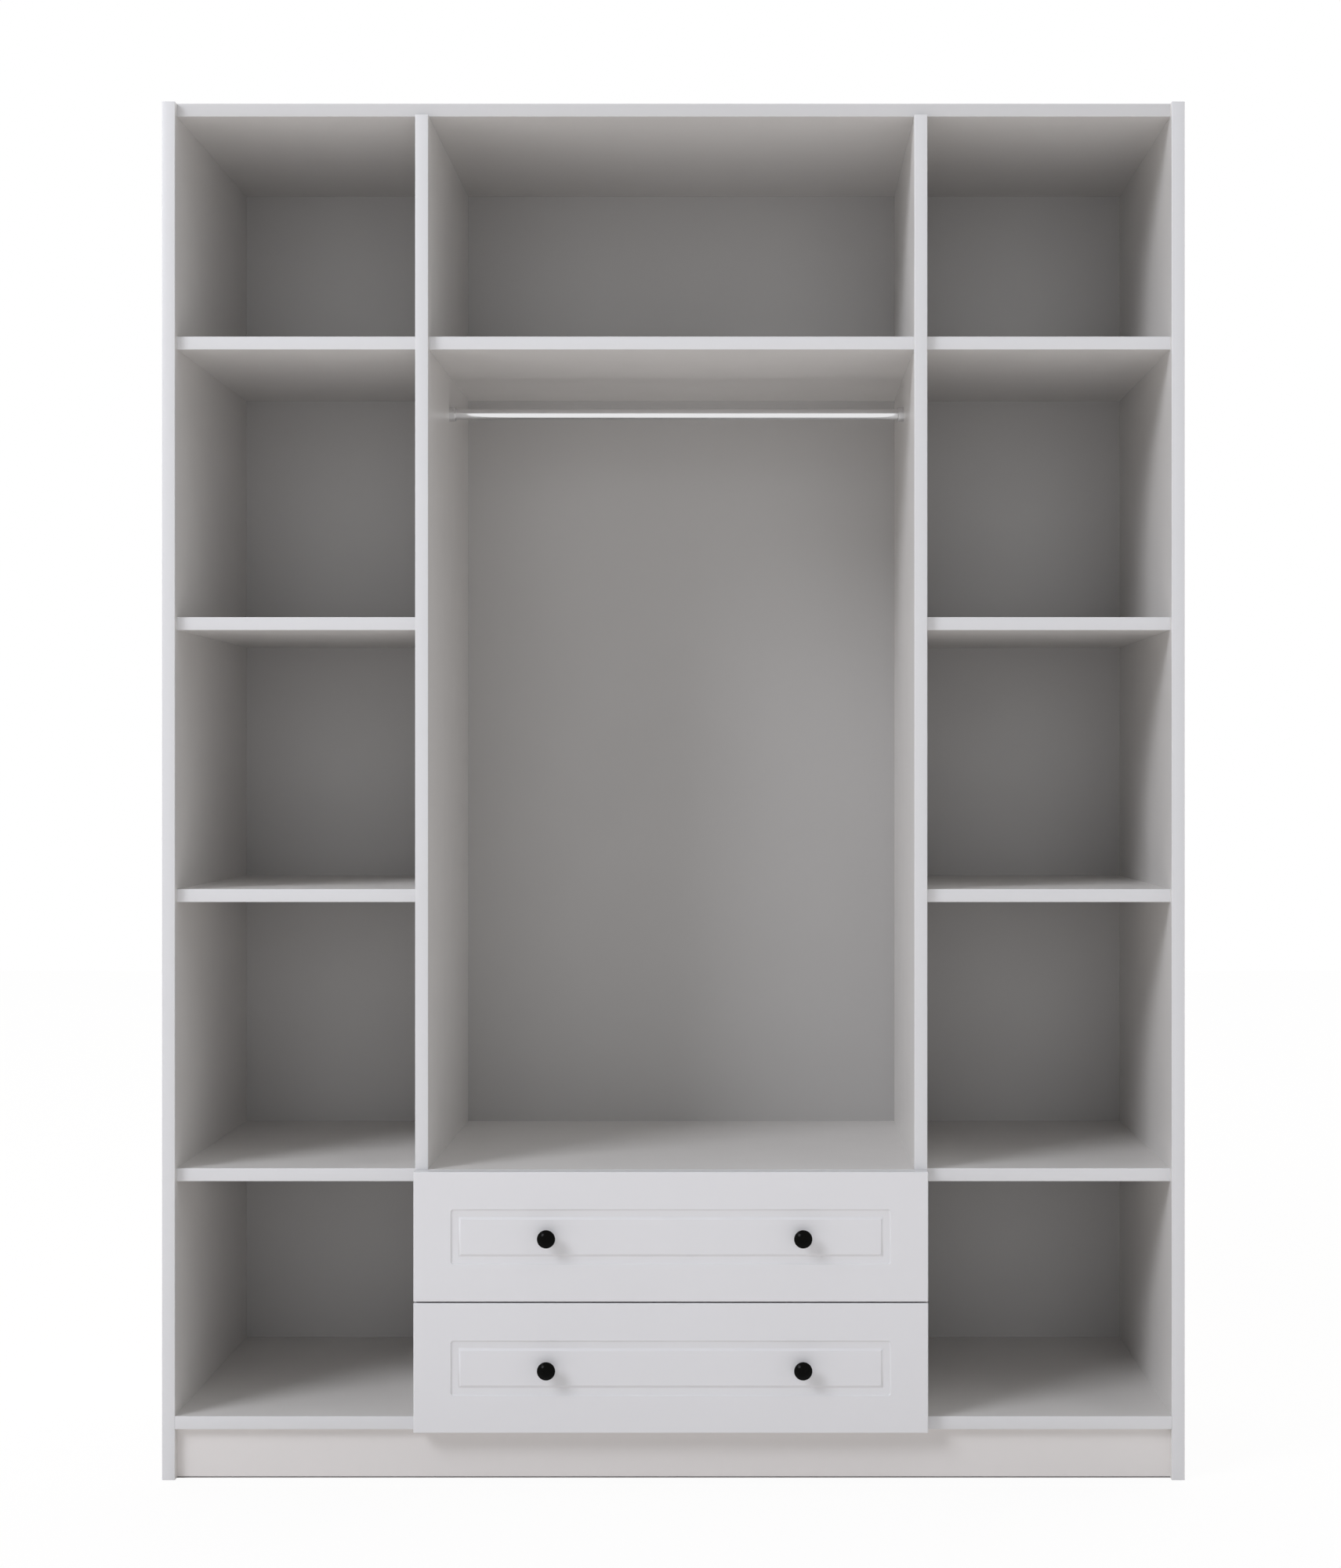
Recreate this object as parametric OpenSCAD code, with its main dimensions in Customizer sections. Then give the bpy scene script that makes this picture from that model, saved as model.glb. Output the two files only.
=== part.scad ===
// Open three-bay wardrobe: side bays with shelves, a hanging bay and two drawers on ball runners.
// The origin is on the floor, at the middle of the overall width and depth. The front faces -Y.

/* [Carcass] */
// Overall width over the two side panels
cabinet_w = 1410; // [1300:1:1700]
// Overall height above the floor
cabinet_h = 1900; // [1800:1:2300]
// Depth of the side panels, without the back
panel_d = 497; // [490:1:620]
// Thickness of the carcass boards
board_t = 18; // [16:0.5:22]
// Clear width of the left bay
left_bay_w = 331; // [280:1:400]
// Clear width of the right bay
right_bay_w = 336.8; // [280:0.2:400]
// How far the shelves and the top panel lie behind the front edges
shelf_setback = 12; // [0:0.5:25]
// Thickness of the back panels
back_t = 3; // [2.5:0.5:8]
// How far the back panels stop short of the outer edges
back_inset = 2; // [0.5:0.5:6]
// Gap between neighbouring back panels
back_joint = 1; // [0.2:0.2:4]

/* [Levels] */
// Height of the plinth space under the bottom panel
plinth_h = 70; // [60:1:120]
// Gap between the floor and the plinth board
plinth_lift = 1.5; // [0.5:0.5:5]
// How far the plinth board lies behind the front edges
plinth_setback = 12; // [0:0.5:60]
// Clear height of the drawer bay
drawer_bay_h = 322; // [310:1:380]
// Clear height of the compartments above the drawer level
lower_bay_h = 368; // [250:1:420]
// Clear height of the compartments at mid height
middle_bay_h = 358; // [250:1:420]
// Clear height of the compartments under the top shelves
upper_bay_h = 370; // [250:1:420]

/* [Hanging rail] */
// Outer diameter of the rail tube
rail_d = 16; // [12:0.5:25]
// Wall of the rail tube
rail_wall = 1; // [0.8:0.1:2]
// Drop from the hat shelf to the centre of the rail
rail_drop = 56; // [40:1:90]
// Distance of the rail behind the front edges
rail_back = 250; // [200:1:300]
// Outer diameter of the rail sockets
socket_d = 22; // [20:0.5:32]
// Depth of the rail sockets
socket_l = 9; // [7:0.5:16]
// Thickness of the socket floor
socket_floor = 2.5; // [2:0.1:4]
// Radial play of the rail in its sockets
rail_play = 0.15; // [0.05:0.05:0.3]
// Play at each end of the rail
rail_end_play = 0.2; // [0.1:0.1:0.5]

/* [Drawer fronts] */
// Thickness of a drawer front
front_t = 18; // [16:0.5:22]
// Gap between the fronts and the carcass
front_gap = 1; // [0.5:0.1:3]
// Gap between the two fronts
front_joint = 2; // [1.5:0.1:5]
// How far the fronts stop short of the boards that they cover, above and below
front_reveal = 0.5; // [-4:0.1:4]
// Margin between the edge of a front and its routed groove
groove_margin = 51.5; // [30:0.5:60]
// Width of the routed groove without its bevel
groove_w = 10.4; // [6:0.1:16]
// Width of the bevel up to the raised field
bevel_w = 3.4; // [2:0.1:8]
// Depth of the groove at its outer edge
groove_edge_depth = 1.2; // [0.6:0.1:2]
// Depth of the groove at the foot of the bevel
groove_depth = 2.8; // [2:0.1:4.5]
// Radius of the outer corners of the groove
groove_corner_r = 3.5; // [1:0.5:8]

/* [Knobs] */
// Distance between the two knobs of a front
knob_spacing = 350.8; // [200:0.2:450]
// Sideways shift of the pair from the middle of the front
knob_shift = 5.8; // [-20:0.2:20]
// Diameter of the knob head
knob_d = 25.2; // [20:0.1:40]
// Projection of the knob
knob_l = 24; // [22:0.5:32]
// Diameter of the knob foot
knob_foot_d = 14; // [10:0.5:18]
// Diameter of the knob neck
knob_neck_d = 10; // [8:0.5:14]

/* [Drawer boxes] */
// Thickness of the drawer sides and backs
box_t = 16; // [15:0.5:19]
// Height of the drawer sides
box_h = 125; // [100:1:130]
// Length of the drawer sides
box_l = 460; // [455:1:480]
// Height of the drawer sides above the lower edge of their front
box_lift = 30.5; // [30:0.5:34]
// Thickness of the drawer bottoms
bottom_t = 3; // [2.5:0.5:6]
// Height of the bottom groove above the lower edge of the sides
bottom_lift = 10; // [8:0.5:14]
// Depth of the bottom groove
bottom_groove = 6; // [4:0.5:8]
// Play of the bottom in its groove
bottom_play = 0.1; // [0.05:0.05:0.3]

/* [Ball runners] */
// Height of a runner
runner_h = 45; // [44:0.5:50]
// Length of a runner
runner_l = 450; // [400:5:455]
// Distance of the runners behind the front edges
runner_setback = 3; // [1:0.5:5]
// Thickness of the runner steel
sheet_t = 1.2; // [1:0.05:1.3]
// Diameter of the bearing balls
ball_d = 4.5; // [4:0.1:4.8]
// Radial play of a ball in its races
ball_play = 0.05; // [0.02:0.01:0.1]
// Number of balls in one row
ball_count = 8; // [4:1:10]
// Distance between the balls of a row
ball_pitch = 20; // [16:0.5:22]
// Thickness of the ball cages
cage_t = 1; // [0.8:0.1:1.2]
// Play around the ball cages
cage_play = 0.3; // [0.25:0.05:0.4]
// Gap between the webs of the channel and the carriage
web_gap = 0.55; // [0.4:0.05:0.8]

/* [Panel fittings] */
// Diameter of a cam housing
cam_d = 15; // [12:0.5:16]
// Depth of a cam housing
cam_h = 12.5; // [11:0.5:13]
// Distance of a cam from the end of its board
cam_reach = 34; // [30:0.5:40]
// Diameter of the bolt's thread
bolt_d = 5; // [4:0.5:6]
// Depth of the bolt's thread in the panel
bolt_depth = 11; // [8:0.5:12]
// Diameter of the bore that the bolt passes through
bolt_bore_d = 8; // [7:0.5:9]
// Diameter of a dowel
dowel_d = 8; // [6:0.5:9]
// Length of a dowel
dowel_l = 30; // [24:1:34]
// Depth of a dowel in the panel
dowel_depth = 11; // [8:0.5:12]
// Distance of the first cam from the front and back edges
cam_inset = 60; // [40:1:80]
// Distance between a cam and its dowel
dowel_offset = 32; // [30:1:40]
// Shift of the middle bay's fittings from those of the side bays
middle_shift = 16; // [12:0.5:16]
// Radial play of fittings in their bores
fitting_play = 0.05; // [0.02:0.01:0.1]

/* [Screws] */
// Diameter of the small screws
screw_d = 3.5; // [3:0.1:4]
// Length of the small screws
screw_l = 13; // [10:0.5:14]
// Diameter of the small screw heads
screw_head_d = 6.8; // [6:0.1:7.6]
// Height of the pan heads
screw_head_h = 2.2; // [1.5:0.1:2.6]
// Diameter of the knob screws
knob_screw_d = 4; // [3:0.5:5]
// Depth of the knob screws in the knobs
knob_screw_depth = 9; // [6:0.5:12]
// Diameter of the thread of a box screw
box_screw_d = 5; // [4:0.5:6]
// Diameter of the neck of a box screw
box_neck_d = 7; // [6:0.5:7.5]
// Length of a box screw
box_screw_l = 50; // [40:1:60]

/* [Hidden] */
$fn = 48;
eps = 0.01;
cut = 1;

// Depth layout
knob_reach = knob_l + front_t + front_gap;
total_d = knob_reach + panel_d + back_t;
front_y = knob_reach - total_d / 2;
back_y = front_y + panel_d;
front_back_y = front_y - front_gap;
front_face_y = front_back_y - front_t;
shelf_y = front_y + shelf_setback;

// Width layout
side_x = cabinet_w / 2;
inner_x = side_x - board_t;
left_face_x = -inner_x + left_bay_w;
middle_left_x = left_face_x + board_t;
right_face_x = inner_x - right_bay_w;
middle_right_x = right_face_x - board_t;

// Height layout, each the underside of its board, with level 1 at the top
floor_z = plinth_h + board_t;
level_4 = floor_z + drawer_bay_h;
level_3 = level_4 + board_t + lower_bay_h;
level_2 = level_3 + board_t + middle_bay_h;
level_1 = level_2 + board_t + upper_bay_h;
levels = [level_1, level_2, level_3, level_4];
top_z = cabinet_h - board_t;
mid_t = board_t / 2;

// Drawer layout, for the lower drawer
front_w = right_face_x - left_face_x;
front_mid_x = (left_face_x + right_face_x) / 2;
front_low_z = plinth_h - front_reveal;
front_high_z = level_4 + board_t - front_reveal;
front_h = (front_high_z - front_low_z - front_joint) / 2;
drawer_pitch = front_h + front_joint;
box_z = front_low_z + box_lift;
box_end_y = front_back_y + box_l;
runner_z = box_z + box_h / 2;
box_mid_y = box_end_y - box_t / 2;
knob_z = front_low_z + front_h / 2;
knob_x = [front_mid_x + knob_shift - knob_spacing / 2, front_mid_x + knob_shift + knob_spacing / 2];

// Runner section: u runs from the partition towards the drawer, w upwards from the middle
race_r = ball_d / 2 + ball_play;
race_out = race_r + sheet_t;
race_mid = race_r + sheet_t / 2;
bend_r = sheet_t / 2;
bend_out = bend_r + sheet_t;
foot_angle = 55;
nest_angle = 58;
lip_angle = 10;
hook_angle = 30;
rail_lip_angle = 20;
outer_u = sheet_t + web_gap + bend_out + (race_mid + bend_r + sheet_t / 2) * cos(foot_angle);
outer_w = runner_h / 2 - race_out;
bend_u = sheet_t + web_gap + bend_out;
bend_w = outer_w - (race_mid + bend_r + sheet_t / 2) * sin(foot_angle);
inner_u = outer_u + 2 * race_mid * cos(nest_angle);
inner_w = outer_w - 2 * race_mid * sin(nest_angle);
rail_web_gap = 0.28;
runner_t = inner_u + ball_d / 2 + rail_web_gap + sheet_t;
runner_y = front_y + runner_setback;
carriage_trim = 2;
cage_end = 7;
cage_l = (ball_count - 1) * ball_pitch + 2 * cage_end;
cage_y = runner_y + runner_l / 2;
ball_hole_play = 0.1;
channel_screw_inset = 35;
channel_screws = [channel_screw_inset, runner_l / 2, runner_l - channel_screw_inset];
rail_screw_inset = 70;
rail_screws = [rail_screw_inset, runner_l - rail_screw_inset];

// Drawer box layout
box_left_x = middle_left_x + runner_t;
box_right_x = middle_right_x - runner_t;
box_inner_left = box_left_x + box_t;
box_inner_right = box_right_x - box_t;
bottom_z = box_z + bottom_lift;
box_cam_inset = 31;
box_cam_z = [box_z + box_cam_inset, box_z + box_h - box_cam_inset];
box_screw_inset = 24;
box_screw_z = [box_z + box_screw_inset, box_z + box_h - box_screw_inset];
back_drop = 12;
front_groove = 8;
bore_spare = 0.5;

// Places of the panel fittings, measured along Y
side_cam_y = [front_y + cam_inset, back_y - cam_inset];
side_dowel_y = [front_y + cam_inset + dowel_offset, back_y - cam_inset - dowel_offset];
middle_cam_y = [side_cam_y[0] + middle_shift, side_cam_y[1] - middle_shift];
middle_dowel_y = [side_dowel_y[0] + middle_shift, side_dowel_y[1] - middle_shift];
rail_z = level_1 - rail_drop;
rail_y = front_y + rail_back;

// A joint is [place on the face that receives it, turn, flip]: its own X runs into the board's end
// and its own Z points at the face that the cam housing is set in.
function end_joints(xl, xr, ys, z, flip) = [for (y = ys) each [
    [[xl, y, z], [0, 0, 0], flip],
    [[xr, y, z], [0, 0, 180], flip]
]];
function left_only(js) = [for (i = [0:2:len(js) - 1]) js[i]];
function right_only(js) = [for (i = [1:2:len(js) - 1]) js[i]];
// Upper shelves have their cams on top and lower ones underneath, where they are out of sight.
function level_flip(i) = i < 2 ? 0 : 180;
function left_level(i, ys) = end_joints(-inner_x, left_face_x, ys, levels[i] + mid_t, level_flip(i));
function right_level(i, ys) = end_joints(right_face_x, inner_x, ys, levels[i] + mid_t, level_flip(i));
function hat_level(ys) = end_joints(middle_left_x, middle_right_x, ys, level_1 + mid_t, 0);
function deck_level(ys) = end_joints(middle_left_x, middle_right_x, ys, level_4 + mid_t, 180);
function top_level(ys) = end_joints(-inner_x, inner_x, ys, top_z + mid_t, 0);
function bottom_level(ys) = end_joints(-inner_x, inner_x, ys, plinth_h + mid_t, 180);
function upright_top(x, ys, flip) = [for (y = ys) [[x, y, top_z], [0, 90, 0], flip]];
function upright_foot(x, ys, flip) = [for (y = ys) [[x, y, floor_z], [0, -90, 0], flip]];
left_mid_x = left_face_x + mid_t;
right_mid_x = right_face_x - mid_t;
function left_ends(ys) = concat(upright_top(left_mid_x, ys, 180), upright_foot(left_mid_x, ys, 0));
function right_ends(ys) = concat(upright_top(right_mid_x, ys, 0), upright_foot(right_mid_x, ys, 180));
plinth_y = front_y + plinth_setback + mid_t;
rear_rail_y = back_y - mid_t;
plinth_cam_z = (plinth_lift + plinth_h) / 2;
function plinth_joints(z) = [
    [[-inner_x, plinth_y, z], [0, 0, 0], -90],
    [[inner_x, plinth_y, z], [0, 0, 180], 90]
];
function rear_rail_joints(z) = [
    [[-inner_x, rear_rail_y, z], [0, 0, 0], 90],
    [[inner_x, rear_rail_y, z], [0, 0, 180], -90]
];
plinth_dowel_rise = 20;
plinth_dowel_z = plinth_cam_z + plinth_dowel_rise;
side_rows = [0, 1, 2, 3];
left_shelf_cams = [for (i = side_rows) each left_level(i, side_cam_y)];
left_shelf_dowels = [for (i = side_rows) each left_level(i, side_dowel_y)];
right_shelf_cams = [for (i = side_rows) each right_level(i, side_cam_y)];
right_shelf_dowels = [for (i = side_rows) each right_level(i, side_dowel_y)];
frame_cams = concat(top_level(side_cam_y), bottom_level(side_cam_y), plinth_joints(plinth_cam_z),
    rear_rail_joints(plinth_cam_z));
frame_dowels = concat(top_level(side_dowel_y), bottom_level(side_dowel_y), plinth_joints(plinth_dowel_z),
    rear_rail_joints(plinth_dowel_z));
middle_cams = concat(hat_level(middle_cam_y), deck_level(middle_cam_y));
middle_dowels = concat(hat_level(middle_dowel_y), deck_level(middle_dowel_y));
upright_cams = concat(left_ends(side_cam_y), right_ends(side_cam_y));
upright_dowels = concat(left_ends(side_dowel_y), right_ends(side_dowel_y));

white = [0.93, 0.93, 0.94];
back_white = [0.88, 0.88, 0.88];
steel = [0.72, 0.73, 0.75];
chrome = [0.80, 0.81, 0.83];
black = [0.06, 0.06, 0.06];
beech = [0.80, 0.66, 0.47];

// A board between two corners
module board(low, high) {
    translate(low) cube(high - low);
}

module at_joint(j) {
    translate(j[0]) rotate(j[1]) rotate([j[2], 0, 0]) children();
}

module turned(points) {
    rotate([0, 90, 0]) rotate_extrude() polygon(points);
}

// Cam fitting in its own joint frame, for a board of thickness t
module cam_housing(t) {
    cross_l = 9;
    cross_w = 1.6;
    cross_depth = 2.5;
    rim = 0.3;
    translate([cam_reach, 0, t / 2 - rim]) difference() {
        translate([0, 0, -cam_h]) cylinder(d = cam_d - 2 * fitting_play, h = cam_h);
        for (turn = [45, 135])
            rotate([0, 0, turn]) translate([-cross_l / 2, -cross_w / 2, -cross_depth])
                cube([cross_l, cross_w, cross_depth + cut]);
        translate([-cam_d, 0, rim - t / 2]) rotate([0, 90, 0]) cylinder(d = bolt_bore_d, h = cam_d);
    }
}

module cam_bolt() {
    collar_d = bolt_bore_d - 2 * fitting_play;
    shank_d = bolt_d;
    neck_d = 3.2;
    head_d = 6.4;
    head_l = 3;
    neck_l = 4;
    translate([-bolt_depth, 0, 0]) turned([
        [0, 0], [bolt_d / 2 - 1, 0], [bolt_d / 2, 1],
        [bolt_d / 2, bolt_depth + fitting_play], [collar_d / 2, bolt_depth + fitting_play],
        [collar_d / 2, bolt_depth + 2], [shank_d / 2, bolt_depth + 2],
        [shank_d / 2, bolt_depth + cam_reach - neck_l - head_l],
        [neck_d / 2, bolt_depth + cam_reach - neck_l - head_l + 1],
        [neck_d / 2, bolt_depth + cam_reach - head_l],
        [head_d / 2, bolt_depth + cam_reach - head_l + 0.5],
        [head_d / 2, bolt_depth + cam_reach - 0.8], [head_d / 2 - 0.8, bolt_depth + cam_reach],
        [0, bolt_depth + cam_reach]
    ]);
}

module dowel() {
    chamfer = 1;
    r = dowel_d / 2;
    translate([-dowel_depth, 0, 0]) turned([
        [0, 0], [r - chamfer, 0], [r, chamfer], [r, dowel_l - chamfer],
        [r - chamfer, dowel_l], [0, dowel_l]
    ]);
}

// Bores in the end of a board for its cam fitting
module cam_end_bores(t) {
    translate([cam_reach, 0, t / 2 - cam_h - bore_spare]) cylinder(d = cam_d, h = cam_h + bore_spare + cut);
    translate([-eps, 0, 0]) rotate([0, 90, 0]) cylinder(d = bolt_bore_d, h = cam_reach);
}

// Bore in the face that the bolt screws into
module cam_face_bore() {
    translate([-bolt_depth - bore_spare, 0, 0]) rotate([0, 90, 0])
        cylinder(d = bolt_d + 2 * fitting_play, h = bolt_depth + bore_spare + eps);
}

module dowel_end_bore() {
    translate([-eps, 0, 0]) rotate([0, 90, 0])
        cylinder(d = dowel_d + 2 * fitting_play, h = dowel_l - dowel_depth + bore_spare);
}

module dowel_face_bore() {
    translate([-dowel_depth - bore_spare, 0, 0]) rotate([0, 90, 0])
        cylinder(d = dowel_d + 2 * fitting_play, h = dowel_depth + bore_spare + eps);
}

module end_bores(cams, dowels, t = board_t) {
    for (j = cams) at_joint(j) cam_end_bores(t);
    for (j = dowels) at_joint(j) dowel_end_bore();
}

module face_bores(cams, dowels) {
    for (j = cams) at_joint(j) cam_face_bore();
    for (j = dowels) at_joint(j) dowel_face_bore();
}

// Screws, with the head's seat at the origin and the point towards +X
screw_tip = 3;

module countersunk_screw() {
    turned([
        [0, 0], [screw_head_d / 2, 0], [screw_d / 2, sheet_t],
        [screw_d / 2, sheet_t + screw_l - screw_tip], [0, sheet_t + screw_l]
    ]);
}

module pan_screw() {
    r = screw_head_d / 2;
    turned([
        [0, -screw_head_h], [r - 1, -screw_head_h], [r, -screw_head_h + 1], [r, 0],
        [screw_d / 2, 0], [screw_d / 2, screw_l - screw_tip], [0, screw_l]
    ]);
}

module screw_bore() {
    translate([-eps, 0, 0]) rotate([0, 90, 0])
        cylinder(d = screw_d + 2 * fitting_play, h = screw_l + sheet_t + bore_spare);
}

// Countersunk hole through a sheet or floor of the sheet's thickness
module countersink() {
    spread = screw_head_d - screw_d;
    translate([-eps, 0, 0]) rotate([0, 90, 0])
        cylinder(d1 = screw_head_d + 2 * fitting_play + spread * eps / sheet_t,
                 d2 = screw_d + 2 * fitting_play - spread * eps / sheet_t, h = sheet_t + 2 * eps);
    screw_bore();
}

// Screw places of the runners of one drawer: side is 1 at the left and -1 at the right
module at_channel_screws(side, lift) {
    for (y = channel_screws)
        translate([side > 0 ? middle_left_x + sheet_t : middle_right_x - sheet_t, runner_y + y,
                   runner_z + lift])
            rotate([0, 0, side > 0 ? 180 : 0]) children();
}

module at_drawer_rail_screws(side) {
    for (y = rail_screws)
        translate([side > 0 ? box_left_x - sheet_t : box_right_x + sheet_t, runner_y + y, runner_z])
            rotate([0, 0, side > 0 ? 0 : 180]) children();
}

module at_socket_screw(side) {
    translate([side > 0 ? middle_left_x + socket_floor : middle_right_x - socket_floor, rail_y, rail_z])
        rotate([0, 0, side > 0 ? 180 : 0]) children();
}

// Screw holes in a partition for its channels and its rail socket
module partition_screw_bores(side) {
    for (lift = [0, drawer_pitch]) at_channel_screws(side, lift) screw_bore();
    at_socket_screw(side) screw_bore();
}

module side_panel(side) {
    difference() {
        board([side < 0 ? -side_x : inner_x, front_y, 0],
              [side < 0 ? -inner_x : side_x, back_y, cabinet_h]);
        if (side < 0)
            face_bores(concat(left_only(left_shelf_cams), left_only(frame_cams)),
                       concat(left_only(left_shelf_dowels), left_only(frame_dowels)));
        else
            face_bores(concat(right_only(right_shelf_cams), right_only(frame_cams)),
                       concat(right_only(right_shelf_dowels), right_only(frame_dowels)));
    }
}

module left_side_panel() {
    color(white) side_panel(-1);
}

module right_side_panel() {
    color(white) side_panel(1);
}

module left_partition() {
    color(white) difference() {
        board([left_face_x, front_y, floor_z], [middle_left_x, back_y, top_z]);
        face_bores(concat(right_only(left_shelf_cams), left_only(middle_cams)),
                   concat(right_only(left_shelf_dowels), left_only(middle_dowels)));
        end_bores(left_ends(side_cam_y), left_ends(side_dowel_y));
        partition_screw_bores(1);
    }
}

module right_partition() {
    color(white) difference() {
        board([middle_right_x, front_y, floor_z], [right_face_x, back_y, top_z]);
        face_bores(concat(left_only(right_shelf_cams), right_only(middle_cams)),
                   concat(left_only(right_shelf_dowels), right_only(middle_dowels)));
        end_bores(right_ends(side_cam_y), right_ends(side_dowel_y));
        partition_screw_bores(-1);
    }
}

module top_panel() {
    color(white) difference() {
        board([-inner_x, shelf_y, top_z], [inner_x, back_y, cabinet_h]);
        end_bores(top_level(side_cam_y), top_level(side_dowel_y));
        face_bores(concat(upright_top(left_mid_x, side_cam_y, 0), upright_top(right_mid_x, side_cam_y, 0)),
                   concat(upright_top(left_mid_x, side_dowel_y, 0),
                          upright_top(right_mid_x, side_dowel_y, 0)));
    }
}

module bottom_panel() {
    color(white) difference() {
        board([-inner_x, front_y, plinth_h], [inner_x, back_y, floor_z]);
        end_bores(bottom_level(side_cam_y), bottom_level(side_dowel_y));
        face_bores(concat(upright_foot(left_mid_x, side_cam_y, 0), upright_foot(right_mid_x, side_cam_y, 0)),
                   concat(upright_foot(left_mid_x, side_dowel_y, 0),
                          upright_foot(right_mid_x, side_dowel_y, 0)));
    }
}

module plinth_board() {
    color(white) difference() {
        board([-inner_x, plinth_y - mid_t, plinth_lift], [inner_x, plinth_y + mid_t, plinth_h]);
        end_bores(plinth_joints(plinth_cam_z), plinth_joints(plinth_dowel_z));
    }
}

module rear_plinth_rail() {
    color(white) difference() {
        board([-inner_x, rear_rail_y - mid_t, 0], [inner_x, rear_rail_y + mid_t, plinth_h]);
        end_bores(rear_rail_joints(plinth_cam_z), rear_rail_joints(plinth_dowel_z));
    }
}

// Back panels meet on the middle of the partitions
module back_panel(x_low, x_high) {
    color(back_white)
        board([x_low, back_y, plinth_h + back_inset], [x_high, back_y + back_t, cabinet_h - back_inset]);
}

module back_panel_left() {
    back_panel(-side_x + back_inset, left_mid_x - back_joint / 2);
}

module back_panel_middle() {
    back_panel(left_mid_x + back_joint / 2, right_mid_x - back_joint / 2);
}

module back_panel_right() {
    back_panel(right_mid_x + back_joint / 2, side_x - back_inset);
}

module shelf(x_low, x_high, z, y_low, cams, dowels) {
    color(white) difference() {
        board([x_low, y_low, z], [x_high, back_y, z + board_t]);
        end_bores(cams, dowels);
    }
}

module left_shelf(i) {
    shelf(-inner_x, left_face_x, levels[i], shelf_y,
          left_level(i, side_cam_y), left_level(i, side_dowel_y));
}

module right_shelf(i) {
    shelf(right_face_x, inner_x, levels[i], shelf_y,
          right_level(i, side_cam_y), right_level(i, side_dowel_y));
}

module hat_shelf() {
    shelf(middle_left_x, middle_right_x, level_1, shelf_y,
          hat_level(middle_cam_y), hat_level(middle_dowel_y));
}

module drawer_deck() {
    shelf(middle_left_x, middle_right_x, level_4, front_y,
          deck_level(middle_cam_y), deck_level(middle_dowel_y));
}

module hanging_rail() {
    rail_low = middle_left_x + socket_floor + rail_end_play;
    rail_high = middle_right_x - socket_floor - rail_end_play;
    color(chrome) translate([rail_low, rail_y, rail_z]) rotate([0, 90, 0]) difference() {
        cylinder(d = rail_d, h = rail_high - rail_low);
        translate([0, 0, -cut]) cylinder(d = rail_d - 2 * rail_wall, h = rail_high - rail_low + 2 * cut);
    }
}

// Round cup with a countersunk screw in its floor
module rail_socket(side) {
    edge = 1;
    bore_r = rail_d / 2 + rail_play;
    r = max(socket_d / 2, bore_r + 1.5);
    color(chrome) difference() {
        translate([side > 0 ? middle_left_x : middle_right_x, rail_y, rail_z])
            rotate([0, 0, side > 0 ? 0 : 180]) turned([
                [0, 0], [r, 0], [r, socket_l - edge], [r - edge, socket_l], [bore_r, socket_l],
                [bore_r, socket_floor], [0, socket_floor]
            ]);
        at_socket_screw(side) countersink();
    }
}

module rail_socket_left() {
    rail_socket(1);
}

module rail_socket_right() {
    rail_socket(-1);
}

module cam_housings() {
    color(steel) for (j = concat(left_shelf_cams, right_shelf_cams, frame_cams, middle_cams, upright_cams))
        at_joint(j) cam_housing(board_t);
}

module cam_bolts() {
    color(steel) for (j = concat(left_shelf_cams, right_shelf_cams, frame_cams, middle_cams, upright_cams))
        at_joint(j) cam_bolt();
}

module panel_dowels() {
    color(beech)
        for (j = concat(left_shelf_dowels, right_shelf_dowels, frame_dowels, middle_dowels, upright_dowels))
            at_joint(j) dowel();
}

// Screws of the channels and of the rail sockets
module fixing_screws() {
    color(steel) for (side = [1, -1]) {
        for (lift = [0, drawer_pitch]) at_channel_screws(side, lift) countersunk_screw();
        at_socket_screw(side) countersunk_screw();
    }
}

// Rolled steel strip around a centre, between two angles less than 180 degrees apart
module rolled(centre, r, from, to) {
    far = 4 * (r + sheet_t);
    mid = (from + to) / 2;
    translate(centre) intersection() {
        difference() {
            circle(r = r + sheet_t);
            circle(r = r);
        }
        polygon([[0, 0], for (a = [from, mid, to]) far * [cos(a), sin(a)]]);
    }
}

module both_halves() {
    children();
    mirror([0, 1]) children();
}

// Channel on the partition: a web with two races that hold the outer balls
module channel_section() {
    translate([0, -outer_w]) square([sheet_t, 2 * outer_w]);
    both_halves() {
        rolled([race_out, outer_w], race_r, 90, 180);
        translate([race_out, outer_w + race_r]) square([outer_u - race_out, sheet_t]);
        rolled([outer_u, outer_w], race_r, -lip_angle, 90);
    }
}

// Carriage: its strip bends under the outer balls and then over the inner ones
module carriage_section() {
    translate([sheet_t + web_gap, -bend_w]) square([sheet_t, 2 * bend_w]);
    both_halves() {
        rolled([bend_u, bend_w], bend_r, foot_angle, 180);
        rolled([outer_u, outer_w], race_r, foot_angle + 180, 360 - nest_angle);
        rolled([inner_u, inner_w], race_r, hook_angle, 180 - nest_angle);
    }
}

// Rail on the drawer: a web with two races under the inner balls
module drawer_rail_section() {
    flange_w = inner_w - race_out;
    translate([runner_t - sheet_t, -flange_w]) square([sheet_t, 2 * flange_w]);
    both_halves() {
        translate([inner_u, flange_w]) square([runner_t - inner_u, sheet_t]);
        rolled([inner_u, inner_w], race_r, 180 + rail_lip_angle, 270);
    }
}

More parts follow.
